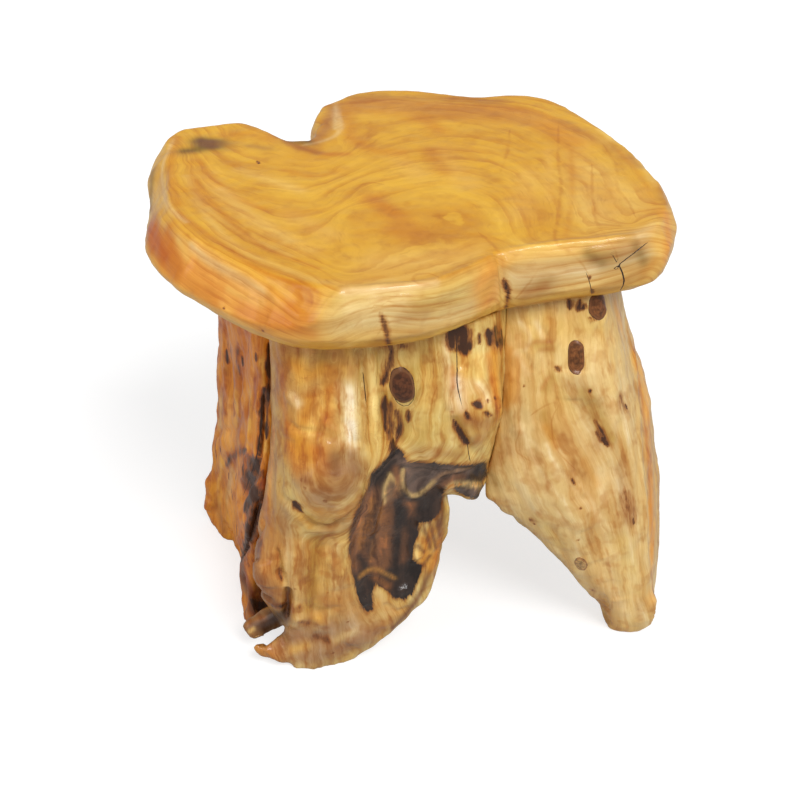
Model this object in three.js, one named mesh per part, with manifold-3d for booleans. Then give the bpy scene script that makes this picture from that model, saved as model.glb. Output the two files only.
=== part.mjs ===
// Rustic stool: a thick live-edge seat slab on a base of fir root wood.
// Millimetres, +Z up, the seat's straighter long side facing -Y.
// The origin is at the middle of the footprint, on the floor.
import * as THREE from "three";
import { mergeVertices } from "three/addons/utils/BufferGeometryUtils.js";
import Module from "manifold-3d";

const wasm = await Module();
wasm.setup();

// Overall sizes. The reaches are measured from the heart of the stump to the circle that the roots fill.
const stoolHeight = 450;
const seatWidth = 476;
const seatDepth = 436;
const seatThickness = 68;
const rootReachAcross = 250;
const rootReachDeep = 250;

// Joinery: the thin glue line at every scribed seam, and the dowels that cross it.
const glueLine = 0.3;
const dowelDiameter = 12;
const dowelLength = 56;
const dowelClearance = 0.3;
const dowelChamfer = 1.2;
const cutOverrun = 5;

// Knots: dead branch stubs, each glued back into its own pocket and sanded off a little proud.
const knotDepth = 14;
const knotProud = 0.8;
const knotClearance = 0.3;
const frontKnotWidth = 19;
const frontKnotHeight = 33;
const sideKnotWidth = 15;
const sideKnotHeight = 31;
const upperKnotSize = 20;
const footKnotSize = 12;
const frontKnotLean = THREE.MathUtils.degToRad(10);

// How finely the turned shapes are drawn.
const dowelSides = 16;
const knotSides = 24;
const twigSides = 14;
const vaultSides = 28;
const vaultBands = 14;

// Seat edge: how far the rim draws in at most over the bevel and under the slab.
const seatRimInset = 24;
const seatUndercut = 30;

const baseHeight = stoolHeight - seatThickness - glueLine;

const seatWood = { color: 0xdca44a, roughness: 0.32, metalness: 0 };
const trunkWood = { color: 0xd9b26c, roughness: 0.36, metalness: 0 };
const paleWood = { color: 0xdfc07f, roughness: 0.36, metalness: 0 };
const barkSideWood = { color: 0xb9793c, roughness: 0.4, metalness: 0 };
const knotWood = { color: 0x5d2c18, roughness: 0.3, metalness: 0 };
const dowelWood = { color: 0xd8bf92, roughness: 0.6, metalness: 0 };

const stool = new THREE.Group();

// Solids

function solidOf(geometry) {
  geometry.deleteAttribute("normal");
  geometry.deleteAttribute("uv");
  const merged = mergeVertices(geometry);
  return new wasm.Manifold(
    new wasm.Mesh({
      numProp: 3,
      vertProperties: merged.attributes.position.array,
      triVerts: new Uint32Array(merged.index.array),
    }),
  );
}

function addPiece(name, solid, finish) {
  const { vertProperties, triVerts } = solid.getMesh();
  const geometry = new THREE.BufferGeometry()
    .setAttribute("position", new THREE.BufferAttribute(vertProperties, 3))
    .setIndex(new THREE.BufferAttribute(triVerts, 1));
  geometry.computeVertexNormals();
  const mesh = new THREE.Mesh(geometry, new THREE.MeshStandardMaterial(finish));
  mesh.name = name;
  stool.add(mesh);
}

// The turn that lays the Y axis of a turned solid along a direction.
function turnTo(direction) {
  const unitY = new THREE.Vector3(0, 1, 0);
  return new THREE.Quaternion().setFromUnitVectors(unitY, direction.clone().normalize());
}

// Closes a stack of rings with the same number of points into one skin with flat ends.
function skinOf(rings) {
  const around = rings[0].length;
  const index = [];
  for (let level = 0; level + 1 < rings.length; level++) {
    for (let step = 0; step < around; step++) {
      const a = level * around + step;
      const b = level * around + ((step + 1) % around);
      index.push(a, b, b + around, a, b + around, a + around);
    }
  }
  const topStart = (rings.length - 1) * around;
  const capOf = (ring) =>
    THREE.ShapeUtils.triangulateShape(ring.map((p) => new THREE.Vector2(p.x, p.y)), []);
  for (const [a, b, c] of capOf(rings[0])) index.push(c, b, a);
  for (const [a, b, c] of capOf(rings.at(-1))) {
    index.push(topStart + a, topStart + b, topStart + c);
  }
  const geometry = new THREE.BufferGeometry().setFromPoints(rings.flat());
  geometry.setIndex(index);
  return solidOf(geometry);
}

// Moves each point of an anticlockwise ring outwards, square to the ring.
function offsetRing(ring, distanceAt) {
  return ring.map((point, i) => {
    const before = ring.at(i - 1);
    const after = ring[(i + 1) % ring.length];
    const outwards = new THREE.Vector3(after.y - before.y, before.x - after.x, 0).normalize();
    return point.clone().addScaledVector(outwards, distanceAt(i));
  });
}

// Roots. Each is a loft: one outline at the top and one at the foot, both drawn in a box
// from -1 to 1, and a list of levels that say where the box stands at each height.
// Level: height, left, right, front, back, as shares of the base height and of the reaches.
// Flutes run up the whole root. A swell pushes the skin out round one place, or in where its
// rise is below zero: across, deep and up, then how wide it reaches and how far it rises.

function makeRoot({
  topOutlineShares,
  footOutlineShares,
  levelShares,
  fluteCount,
  fluteDepthShare,
  fluteTwistShare,
  swellShares,
  aroundCount,
  upCount,
}) {
  const closed = (shares) =>
    new THREE.CatmullRomCurve3(
      shares.map(([x, y]) => new THREE.Vector3(x, y, 0)),
      true,
      "catmullrom",
      0.5,
    );
  const top = closed(topOutlineShares);
  const foot = closed(footOutlineShares);
  const rail = (pick) =>
    new THREE.CatmullRomCurve3(levelShares.map(pick), false, "catmullrom", 0.5);
  const across = rail(([h, left, right]) => new THREE.Vector3(left, right, h));
  const deep = rail(([h, , , front, back]) => new THREE.Vector3(front, back, h));

  // climb runs from 0 at the foot to 1 at the top, and turn runs once round.
  const pointAt = (climb, turn) => {
    const x = across.getPoint(climb);
    const y = deep.getPoint(climb);
    const unit = foot.getPoint(turn).lerp(top.getPoint(turn), x.z);
    const share = new THREE.Vector3(
      (x.x + x.y) / 2 + (unit.x * (x.y - x.x)) / 2,
      (y.x + y.y) / 2 + (unit.y * (y.y - y.x)) / 2,
      x.z,
    );
    const flute = Math.cos(2 * Math.PI * (fluteCount * turn + fluteTwistShare * x.z));
    let rise = fluteDepthShare * flute;
    for (const [atX, atY, atZ, width, height] of swellShares) {
      const away = Math.hypot(share.x - atX, share.y - atY, share.z - atZ) / width;
      rise += height * Math.exp(-(away ** 2));
    }
    const outwards = new THREE.Vector2(unit.x, unit.y).normalize();
    return new THREE.Vector3(
      rootReachAcross * (share.x + rise * outwards.x),
      rootReachDeep * (share.y + rise * outwards.y),
      baseHeight * share.z,
    );
  };
  const ringAt = (climb) =>
    Array.from({ length: aroundCount }, (_, i) => pointAt(climb, i / aroundCount));
  const rings = Array.from({ length: upCount + 1 }, (_, i) => ringAt(i / upCount));

  // The same skin moved out by a clearance and run on past both ends, to cut neighbours with.
  const grown = (clearance) => {
    const wide = rings.map((ring) => offsetRing(ring, () => clearance));
    const moved = (ring, rise) => ring.map((p) => p.clone().setZ(p.z + rise));
    return skinOf([moved(wide[0], -cutOverrun), ...wide, moved(wide.at(-1), cutOverrun)]);
  };
  // The box that the root fills at a height, for what is set out from its seams.
  const boxAt = (climb) => {
    const x = across.getPoint(climb);
    const y = deep.getPoint(climb);
    return {
      left: rootReachAcross * x.x,
      right: rootReachAcross * x.y,
      back: rootReachDeep * y.y,
      height: baseHeight * x.z,
    };
  };
  return { pointAt, boxAt, solid: skinOf(rings), grown };
}

// Trunk: the heart of the stump, and the front foot that runs down from it.

const crown = makeRoot({
  topOutlineShares: [
    [-1, -0.35], [-0.75, -0.85], [-0.15, -1], [0.5, -0.92], [0.9, -0.68], [1, -0.2],
    [1, 0.4], [0.7, 0.88], [0.1, 1], [-0.6, 0.88], [-1, 0.4],
  ],
  footOutlineShares: [
    [-1, -0.35], [-0.75, -0.85], [-0.15, -1], [0.5, -1], [0.94, -0.92], [1, -0.2],
    [1, 0.4], [0.7, 0.88], [0.1, 1], [-0.6, 0.88], [-1, 0.4],
  ],
  levelShares: [
    [0.485, -0.24, 0.28, -0.38, 0.24],
    [0.5, -0.42, 0.33, -0.46, 0.4],
    [0.545, -0.47, 0.345, -0.515, 0.46],
    [0.65, -0.48, 0.37, -0.54, 0.48],
    [0.8, -0.47, 0.39, -0.56, 0.51],
    [1, -0.47, 0.4, -0.54, 0.53],
  ],
  fluteCount: 5,
  fluteDepthShare: 0.006,
  fluteTwistShare: 0.4,
  swellShares: [
    [0.28, -0.52, 0.76, 0.11, 0.07],
    [0.12, -0.56, 0.62, 0.12, 0.03],
    [0.03, -0.56, 0.74, 0.08, -0.03],
  ],
  aroundCount: 44,
  upCount: 14,
});

const frontFoot = makeRoot({
  topOutlineShares: [
    [-1, 0.1], [-0.92, -0.6], [-0.5, -0.96], [0.1, -1], [0.65, -0.85], [0.95, -0.35],
    [0.9, 0.5], [0.3, 1], [-0.5, 0.95],
  ],
  footOutlineShares: [
    [-0.95, -0.2], [-0.9, -0.75], [-0.6, -1], [0.1, -0.92], [0.75, -0.65], [1, -0.25],
    [0.85, 0.5], [0.25, 1], [-0.45, 0.6],
  ],
  levelShares: [
    [0, -0.45, -0.17, -0.55, -0.31],
    [0.08, -0.45, -0.035, -0.565, -0.25],
    [0.17, -0.505, 0.095, -0.58, -0.19],
    [0.24, -0.535, 0.15, -0.595, -0.14],
    [0.37, -0.53, 0.18, -0.615, -0.1],
    [0.48, -0.51, 0.19, -0.62, -0.1],
    [0.6, -0.48, 0.12, -0.62, -0.1],
    [0.7, -0.468, 0.03, -0.625, -0.12],
    [0.85, -0.458, -0.02, -0.61, -0.15],
    [1, -0.465, -0.04, -0.6, -0.16],
  ],
  fluteCount: 4,
  fluteDepthShare: 0.006,
  fluteTwistShare: 0.3,
  swellShares: [
    [-0.235, -0.62, 0.6, 0.14, 0.085],
    [-0.25, -0.6, 0.46, 0.1, -0.035],
    [0.02, -0.6, 0.38, 0.17, -0.055],
    [-0.5, -0.54, 0.3, 0.1, 0.05],
  ],
  aroundCount: 40,
  upCount: 24,
});
// The underside of the crown is hollowed to an egg-shaped vault between the feet.
const vaultCentreShares = [0.1, 0.06, 0.34];
const vaultRadiusShares = [0.26, 0.3, 0.24];

function makeVault() {
  const vault = new THREE.SphereGeometry(1, vaultSides, vaultBands).rotateX(Math.PI / 2);
  const [across, deep, rise] = vaultRadiusShares;
  vault.scale(across * rootReachAcross, deep * rootReachDeep, rise * baseHeight);
  const [x, y, z] = vaultCentreShares;
  vault.translate(x * rootReachAcross, y * rootReachDeep, z * baseHeight);
  return solidOf(vault);
}

// Two broken twigs are left on the front foot: its small upturned toe, and a blunt stub over it.
// Profile: how far along the twig, and how thick it is there, as shares of its length and girth.
const toeTwig = {
  rootShares: [-0.4, -0.5, 0.03],
  tipShares: [-0.56, -0.5, 0.078],
  girthShare: 0.05,
  profileShares: [[0, 1], [0.35, 0.96], [0.7, 0.7], [0.9, 0.44], [1, 0.2], [1.05, 0]],
};
const stubTwig = {
  rootShares: [-0.42, -0.4, 0.13],
  tipShares: [-0.6, -0.42, 0.055],
  girthShare: 0.06,
  profileShares: [[0, 1], [0.4, 0.8], [0.7, 0.72], [0.92, 0.74], [1, 0.6], [1, 0]],
};

function makeTwig({ rootShares, tipShares, girthShare, profileShares }) {
  const at = ([x, y, z]) =>
    new THREE.Vector3(x * rootReachAcross, y * rootReachDeep, z * baseHeight);
  const along = at(tipShares).sub(at(rootShares));
  const profile = profileShares.map(
    ([run, girth]) =>
      new THREE.Vector2(girth * girthShare * rootReachAcross, run * along.length()),
  );
  const twig = new THREE.LatheGeometry([new THREE.Vector2(0, 0), ...profile], twigSides);
  twig.applyQuaternion(turnTo(along));
  twig.translate(...at(rootShares));
  return solidOf(twig);
}

const trunkSolid = crown.solid
  .add(frontFoot.solid)
  .add(makeTwig(toeTwig))
  .add(makeTwig(stubTwig))
  .subtract(makeVault());
const trunkGrown = crown.grown(glueLine).add(frontFoot.grown(glueLine));

// Left root: a wall of root along the left side, down to a long foot.

const leftRoot = makeRoot({
  topOutlineShares: [
    [-1, 0.7], [-1, 0.3], [-0.8, -0.1], [-0.5, -0.5], [0, -0.85], [0.45, -1],
    [1, -0.85], [1, 0], [0.9, 0.75], [0.2, 1], [-0.75, 0.98],
  ],
  footOutlineShares: [
    [-0.78, 0.72], [-0.45, 0.48], [-0.14, 0.15], [-0.05, -0.3], [0, -0.75], [0.1, -1],
    [0.42, -0.98], [0.88, -0.6], [0.85, 0.15], [0.2, 0.8], [-0.9, 0.98],
  ],
  levelShares: [
    [0, -0.84, -0.44, -0.29, 0.46],
    [0.08, -0.835, -0.45, -0.27, 0.47],
    [0.2, -0.81, -0.45, -0.26, 0.45],
    [0.37, -0.785, -0.44, -0.29, 0.43],
    [0.5, -0.755, -0.41, -0.33, 0.42],
    [0.65, -0.725, -0.4, -0.35, 0.42],
    [0.8, -0.71, -0.39, -0.36, 0.42],
    [1, -0.705, -0.39, -0.35, 0.42],
  ],
  fluteCount: 6,
  fluteDepthShare: 0.012,
  fluteTwistShare: 0.5,
  swellShares: [
    [-0.74, 0.2, 0.55, 0.16, 0.03],
    [-0.55, 0.42, 0.3, 0.16, 0.04],
  ],
  aroundCount: 36,
  upCount: 16,
});

// Right root: a broad wedge that sweeps down to a small flat foot.

const rightRoot = makeRoot({
  topOutlineShares: [
    [-1, -0.1], [-0.95, -0.75], [-0.5, -1], [0.1, -1], [0.7, -0.9], [0.95, -0.4],
    [1, 0.3], [0.7, 0.85], [0, 1], [-0.7, 0.8],
  ],
  footOutlineShares: [
    [-1, 0.1], [-0.9, -0.75], [-0.4, -1], [0.2, -1], [0.72, -0.92], [0.95, -0.4],
    [1, 0.3], [0.7, 0.85], [0, 1], [-0.75, 0.8],
  ],
  levelShares: [
    [0, 0.83, 0.99, -0.33, -0.11],
    [0.07, 0.8, 1.022, -0.37, -0.07],
    [0.17, 0.7, 1.026, -0.4, -0.03],
    [0.3, 0.55, 1.016, -0.43, 0.03],
    [0.42, 0.39, 1, -0.44, 0.1],
    [0.49, 0.3, 0.985, -0.44, 0.17],
    [0.56, 0.25, 0.96, -0.43, 0.21],
    [0.65, 0.24, 0.925, -0.41, 0.27],
    [0.8, 0.23, 0.855, -0.37, 0.33],
    [1, 0.23, 0.78, -0.31, 0.37],
  ],
  fluteCount: 3,
  fluteDepthShare: 0.008,
  fluteTwistShare: 0.5,
  swellShares: [
    [0.62, -0.42, 0.62, 0.2, 0.03],
    [0.6, 0.3, 0.7, 0.2, 0.05],
  ],
  aroundCount: 40,
  upCount: 20,
});

// Back root: the fourth foot, behind the trunk.

const backRoot = makeRoot({
  topOutlineShares: [
    [-1, 0], [-0.7, -0.75], [0, -1], [0.7, -0.7], [1, 0], [0.75, 0.75], [0, 1], [-0.75, 0.7],
  ],
  footOutlineShares: [
    [-1, -0.1], [-0.6, -0.8], [0.1, -1], [0.8, -0.6], [1, 0.1], [0.6, 0.85], [-0.1, 1], [-0.8, 0.65],
  ],
  levelShares: [
    [0, -0.38, 0.05, 0.28, 0.64],
    [0.1, -0.34, 0.07, 0.27, 0.64],
    [0.25, -0.28, 0.1, 0.28, 0.66],
    [0.45, -0.28, 0.16, 0.25, 0.7],
    [0.65, -0.32, 0.25, 0.24, 0.75],
    [1, -0.36, 0.3, 0.24, 0.76],
  ],
  fluteCount: 5,
  fluteDepthShare: 0.02,
  fluteTwistShare: 0.35,
  swellShares: [
    [-0.05, 0.72, 0.5, 0.18, 0.05],
    [0.14, 0.6, 0.72, 0.14, 0.05],
    [-0.25, 0.6, 0.15, 0.14, 0.05],
  ],
  aroundCount: 36,
  upCount: 14,
});

// Seat slab: rings that draw in over the bevel at the top and under the edge.
// Point: across and deep, as shares of the width and depth from the slab's left front
// corner, then the shares of the rim inset and of the undercut that the edge has there.

const seatRimShares = [
  [0, 0.44, 1, 1], [0.002, 0.57, 0.8, 1], [0.01, 0.68, 0.6, 0.8], [0.032, 0.757, 0.4, 0.7],
  [0.08, 0.784, 0.35, 0.7], [0.14, 0.806, 0.4, 0.7], [0.18, 0.8, 0.4, 0.7],
  [0.225, 0.768, 0.5, 0.7], [0.283, 0.715, 0.6, 0.7], [0.302, 0.76, 0.6, 0.7],
  [0.322, 0.876, 0.5, 0.7], [0.367, 0.963, 0.45, 0.7], [0.445, 0.995, 0.45, 0.7],
  [0.53, 0.99, 0.4, 0.7], [0.6, 0.967, 0.4, 0.7], [0.66, 0.955, 0.4, 0.7],
  [0.72, 0.968, 0.4, 0.7], [0.78, 0.955, 0.4, 0.7], [0.838, 0.905, 0.4, 0.7],
  [0.892, 0.805, 0.4, 0.7], [0.945, 0.685, 0.4, 0.7], [0.98, 0.58, 0.45, 0.8],
  [0.998, 0.45, 0.5, 1], [1, 0.355, 0.6, 1.2], [0.975, 0.27, 0.5, 1.3],
  [0.905, 0.222, 0.3, 1.1], [0.8, 0.2, 0.25, 0.9], [0.7, 0.172, 0.25, 0.8],
  [0.663, 0.147, 0.3, 0.8], [0.608, 0.09, 0.3, 0.9], [0.53, 0.032, 0.3, 1],
  [0.415, 0.004, 0.4, 1], [0.315, 0.004, 0.8, 1], [0.247, 0.032, 1, 1.1],
  [0.172, 0.092, 1, 1.2], [0.098, 0.177, 1, 1.3], [0.04, 0.268, 1, 1.3], [0.01, 0.353, 1, 1.2],
];
const seatHeartShares = [0.487, 0.44];

// Under the edge: how high each ring stands in the slab, and how much of the undercut it has.
const seatUndersideShares = [
  { height: 0, undercut: 1 },
  { height: 0.06, undercut: 0.7 },
  { height: 0.17, undercut: 0.38 },
  { height: 0.33, undercut: 0.1 },
];
// Over the edge: how far each ring drops from the top, and how much of the inset it has. Where
// the inset is narrow the whole bevel is small too.
const seatBevelShares = [
  { drop: 0.55, inset: 0 },
  { drop: 0.38, inset: 0.22 },
  { drop: 0.2, inset: 0.56 },
  { drop: 0.07, inset: 0.84 },
  { drop: 0.02, inset: 0.95 },
  { drop: 0, inset: 1.1 },
];
const seatRimCount = 99;

// How far each point of an anticlockwise ring can draw in before a tight bend there folds over.
function drawInRoom(ring) {
  const roomShare = 0.95;
  return ring.map((point, i) => {
    const before = ring.at(i - 1);
    const after = ring[(i + 1) % ring.length];
    const bend = point.clone().sub(before).cross(after.clone().sub(point)).z;
    const reach = point.distanceTo(before) * point.distanceTo(after) * before.distanceTo(after);
    return bend > 0 ? (roomShare * reach) / (2 * bend) : Infinity;
  });
}

function makeSeat() {
  const round = (pick) =>
    new THREE.CatmullRomCurve3(seatRimShares.map(pick).reverse(), true, "catmullrom", 0.5);
  const plan = round(([x, y]) =>
    new THREE.Vector3(
      (x - seatHeartShares[0]) * seatWidth,
      (y - seatHeartShares[1]) * seatDepth,
      0,
    ),
  );
  const edge = round(([, , inset, undercut]) => new THREE.Vector3(inset, undercut, 0));
  const turns = Array.from({ length: seatRimCount }, (_, i) => i / seatRimCount);
  const widest = turns.map((turn) => plan.getPoint(turn));
  const there = turns.map((turn) => edge.getPoint(turn));
  const room = drawInRoom(widest);
  const drawnIn = (distanceAt) => offsetRing(widest, (i) => -Math.min(distanceAt(i), room[i]));
  const underside = seatUndersideShares.map(({ height, undercut }) => {
    const level = stoolHeight - (1 - height) * seatThickness;
    const ring = drawnIn((i) => undercut * there[i].y * seatUndercut);
    return ring.map((point) => point.setZ(level));
  });
  const bevel = seatBevelShares.map(({ drop, inset }) => {
    const ring = drawnIn((i) => inset * there[i].x * seatRimInset);
    return ring.map((point, i) =>
      point.setZ(stoolHeight - drop * there[i].x * seatThickness),
    );
  });
  return skinOf([...underside, ...bevel]);
}

// Joinery: a turned dowel with chamfered ends, and the hole that it is glued into.

function makeDowel(centre, direction) {
  const end = dowelLength / 2;
  const radius = dowelDiameter / 2;
  const profile = [
    [0, -end], [radius - dowelChamfer, -end], [radius, dowelChamfer - end],
    [radius, end - dowelChamfer], [radius - dowelChamfer, end], [0, end],
  ];
  return turnedAt(profile, centre, direction);
}

function makeDowelHole(centre, direction) {
  const end = dowelLength / 2 + dowelClearance;
  const radius = dowelDiameter / 2 + dowelClearance;
  return turnedAt([[0, -end], [radius, -end], [radius, end], [0, end]], centre, direction);
}

function turnedAt(profile, centre, direction) {
  const shape = new THREE.LatheGeometry(
    profile.map(([radius, along]) => new THREE.Vector2(radius, along)),
    dowelSides,
  );
  shape.applyQuaternion(turnTo(direction));
  shape.translate(...centre);
  return solidOf(shape);
}

const upAxis = new THREE.Vector3(0, 0, 1);
const acrossAxis = new THREE.Vector3(1, 0, 0);
const deepAxis = new THREE.Vector3(0, 1, 0);

const seatDowelShares = {
  seat_dowel_front: [-0.2, -0.36],
  seat_dowel_heart: [-0.02, 0.26],
  seat_dowel_left: [-0.59, 0.08],
  seat_dowel_right: [0.58, 0.02],
  seat_dowel_back: [-0.03, 0.65],
};
const seamDowelShares = {
  left_root_dowel_upper: { side: "left", climb: 0.86, along: 0.06 },
  left_root_dowel_lower: { side: "left", climb: 0.6, along: 0.02 },
  right_root_dowel_upper: { side: "right", climb: 0.86, along: 0 },
  right_root_dowel_lower: { side: "right", climb: 0.6, along: -0.04 },
  back_root_dowel_upper: { side: "back", climb: 0.86, along: -0.03 },
  back_root_dowel_lower: { side: "back", climb: 0.6, along: -0.03 },
};

const dowels = {};
for (const [name, [x, y]] of Object.entries(seatDowelShares)) {
  const joint = stoolHeight - seatThickness - glueLine / 2;
  const centre = new THREE.Vector3(x * rootReachAcross, y * rootReachDeep, joint);
  dowels[name] = { centre, direction: upAxis };
}
for (const [name, { side, climb, along }] of Object.entries(seamDowelShares)) {
  const box = crown.boxAt(climb);
  const centre =
    side === "back"
      ? new THREE.Vector3(along * rootReachAcross, box.back, box.height)
      : new THREE.Vector3(box[side], along * rootReachDeep, box.height);
  dowels[name] = { centre, direction: side === "back" ? deepAxis : acrossAxis };
}

// Knots: each plug stands square to the skin that it is let into.

function knotFrame(root, climb, turn) {
  const nudgeShare = 0.004;
  const centre = root.pointAt(climb, turn);
  const round = root.pointAt(climb, turn + nudgeShare).sub(root.pointAt(climb, turn - nudgeShare));
  const rise = root.pointAt(climb + nudgeShare, turn).sub(root.pointAt(climb - nudgeShare, turn));
  const outwards = round.clone().cross(rise).normalize();
  const side = new THREE.Vector3(-outwards.y, outwards.x, 0).normalize();
  const basis = new THREE.Matrix4().makeBasis(side, outwards, side.clone().cross(outwards));
  return basis.setPosition(centre);
}

function makeKnot({ frame, width, height, lean }, clearance, rise) {
  const backShare = 0.82;
  const knot = new THREE.LatheGeometry(
    [
      new THREE.Vector2(0, -knotDepth - clearance),
      new THREE.Vector2(backShare, -knotDepth - clearance),
      new THREE.Vector2(1, 0),
      new THREE.Vector2(1, rise),
      new THREE.Vector2(0, rise),
    ],
    knotSides,
  );
  knot.scale(width / 2 + clearance, 1, height / 2 + clearance);
  knot.rotateY(lean);
  knot.applyMatrix4(frame);
  return solidOf(knot);
}

const knots = {
  front_knot: {
    frame: knotFrame(crown, 0.865, 0.218),
    width: frontKnotWidth,
    height: frontKnotHeight,
    lean: frontKnotLean,
  },
  side_knot: {
    frame: knotFrame(rightRoot, 0.92, 0.335),
    width: sideKnotWidth,
    height: sideKnotHeight,
    lean: 0,
  },
  upper_knot: {
    frame: knotFrame(rightRoot, 0.972, 0.4),
    width: upperKnotSize,
    height: upperKnotSize,
    lean: 0,
  },
  foot_knot: {
    frame: knotFrame(rightRoot, 0.325, 0.205),
    width: footKnotSize,
    height: footKnotSize,
    lean: 0,
  },
};

function fitted(solid) {
  let cut = solid;
  for (const { centre, direction } of Object.values(dowels)) {
    cut = cut.subtract(makeDowelHole(centre, direction));
  }
  for (const knot of Object.values(knots)) {
    cut = cut.subtract(makeKnot(knot, knotClearance, cutOverrun));
  }
  return cut;
}

addPiece("seat_slab", fitted(makeSeat()), seatWood);
addPiece("trunk", fitted(trunkSolid), trunkWood);
addPiece("left_root", fitted(leftRoot.solid.subtract(trunkGrown)), barkSideWood);
addPiece("right_root", fitted(rightRoot.solid.subtract(trunkGrown)), paleWood);
addPiece("back_root", fitted(backRoot.solid.subtract(trunkGrown)), trunkWood);
for (const [name, { centre, direction }] of Object.entries(dowels)) {
  addPiece(name, makeDowel(centre, direction), dowelWood);
}
for (const [name, knot] of Object.entries(knots)) {
  addPiece(name, makeKnot(knot, 0, knotProud), knotWood);
}

// The origin goes to the middle of the footprint, at the floor.
const extent = new THREE.Box3().setFromObject(stool);
const middle = extent.getCenter(new THREE.Vector3());
stool.position.set(-middle.x, -middle.y, -extent.min.z);

export default stool;
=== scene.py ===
import math
import random

import bmesh
import bpy
import numpy as np
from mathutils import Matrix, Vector, noise
from mathutils.bvhtree import BVHTree


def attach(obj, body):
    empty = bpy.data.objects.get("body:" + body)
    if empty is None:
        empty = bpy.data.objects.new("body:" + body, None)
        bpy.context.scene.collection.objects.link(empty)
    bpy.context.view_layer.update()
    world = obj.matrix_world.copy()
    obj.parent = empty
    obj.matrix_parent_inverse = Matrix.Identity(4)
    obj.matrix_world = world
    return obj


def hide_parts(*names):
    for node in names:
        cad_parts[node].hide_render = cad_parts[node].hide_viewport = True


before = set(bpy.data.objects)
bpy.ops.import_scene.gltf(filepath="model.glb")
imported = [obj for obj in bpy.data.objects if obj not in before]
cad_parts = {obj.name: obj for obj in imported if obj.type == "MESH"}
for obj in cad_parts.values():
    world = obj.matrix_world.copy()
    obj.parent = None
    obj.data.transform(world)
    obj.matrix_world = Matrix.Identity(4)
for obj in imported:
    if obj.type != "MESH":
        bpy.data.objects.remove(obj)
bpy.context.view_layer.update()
scene = bpy.context.scene
mm = 0.001

# The trunk: the heart of the root stump and the front foot that grows from it. It is one
# block of fir root, bared of bark and shaped with gouges, burnt where rot was cleared out,
# then sanded and given several coats of clear gloss lacquer.

# Where the photograph was taken from. Every mark is set out as a row of the pixels that it
# is seen at, and widths and depths are in millimetres.
photo_side = 800
photo_focal = 1680
photo_elevation = math.radians(33)
photo_distance = 1636 * mm
photo_aim = Vector((-12.99, -25.52, 225)) * mm
towards_photo = Vector((0, -math.cos(photo_elevation), math.sin(photo_elevation)))
photo_up = Vector((0, math.sin(photo_elevation), math.cos(photo_elevation)))
photo_eye = photo_aim + towards_photo * photo_distance

# Colours of the lacquered wood, as linear red, green and blue.
wood_tints = {
    "honey": (0.76, 0.39, 0.026),
    "gold": (0.80, 0.43, 0.065),
    "butter": (0.84, 0.52, 0.12),
    "cream": (0.88, 0.66, 0.32),
    "ivory": (0.92, 0.80, 0.56),
    "straw": (0.70, 0.475, 0.135),
    "sand": (0.71, 0.475, 0.175),
    "copper": (0.70, 0.25, 0.018),
    "tan": (0.53, 0.245, 0.045),
    "amber": (0.66, 0.26, 0.012),
    "orange": (0.60, 0.185, 0.012),
    "rust": (0.52, 0.115, 0.003),
    "peach": (0.82, 0.36, 0.055),
    "clay": (0.49, 0.20, 0.040),
    "bark": (0.36, 0.135, 0.028),
    "olive": (0.44, 0.25, 0.030),
    "moss": (0.19, 0.105, 0.008),
    "rose": (0.33, 0.15, 0.060),
    "ash": (0.37, 0.205, 0.095),
    "umber": (0.20, 0.075, 0.022),
    "ember": (0.24, 0.095, 0.035),
    "smoke": (0.15, 0.095, 0.070),
    "soot": (0.028, 0.017, 0.013),
}


def photo_sight(pixel):
    """The direction in which the photograph sees a pixel."""
    across = (pixel[0] - photo_side / 2) / photo_focal
    down = (pixel[1] - photo_side / 2) / photo_focal
    return (Vector((across, 0, 0)) - photo_up * down - towards_photo).normalized()


def seen_on(tree, pixel):
    """The point of a piece that the photograph shows at a pixel, and the way it faces."""
    sight = photo_sight(pixel)
    spot, facing, _, _ = tree.ray_cast(photo_eye, sight)
    if spot is None:
        spot, facing, _, _ = tree.find_nearest(photo_eye + sight * photo_distance)
    return spot, facing


def apply_modifiers(piece):
    """Turns a piece's modifiers into its mesh."""
    bpy.context.view_layer.update()
    done = piece.evaluated_get(bpy.context.evaluated_depsgraph_get())
    old = piece.data
    piece.data = bpy.data.meshes.new_from_object(done)
    piece.data.name = piece.name
    piece.modifiers.clear()
    bpy.data.meshes.remove(old)


def oval(centre, across, up, lean=0.0, points=14):
    """A closed oval row of pixels; a lean above zero tips its top to the right."""
    row = []
    for number in range(points + 1):
        turn = 2 * math.pi * number / points
        x = across * math.cos(turn)
        y = up * math.sin(turn)
        tip = math.radians(lean)
        row.append((
            centre[0] + x * math.cos(tip) - y * math.sin(tip),
            centre[1] + x * math.sin(tip) + y * math.cos(tip),
        ))
    return row


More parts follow.
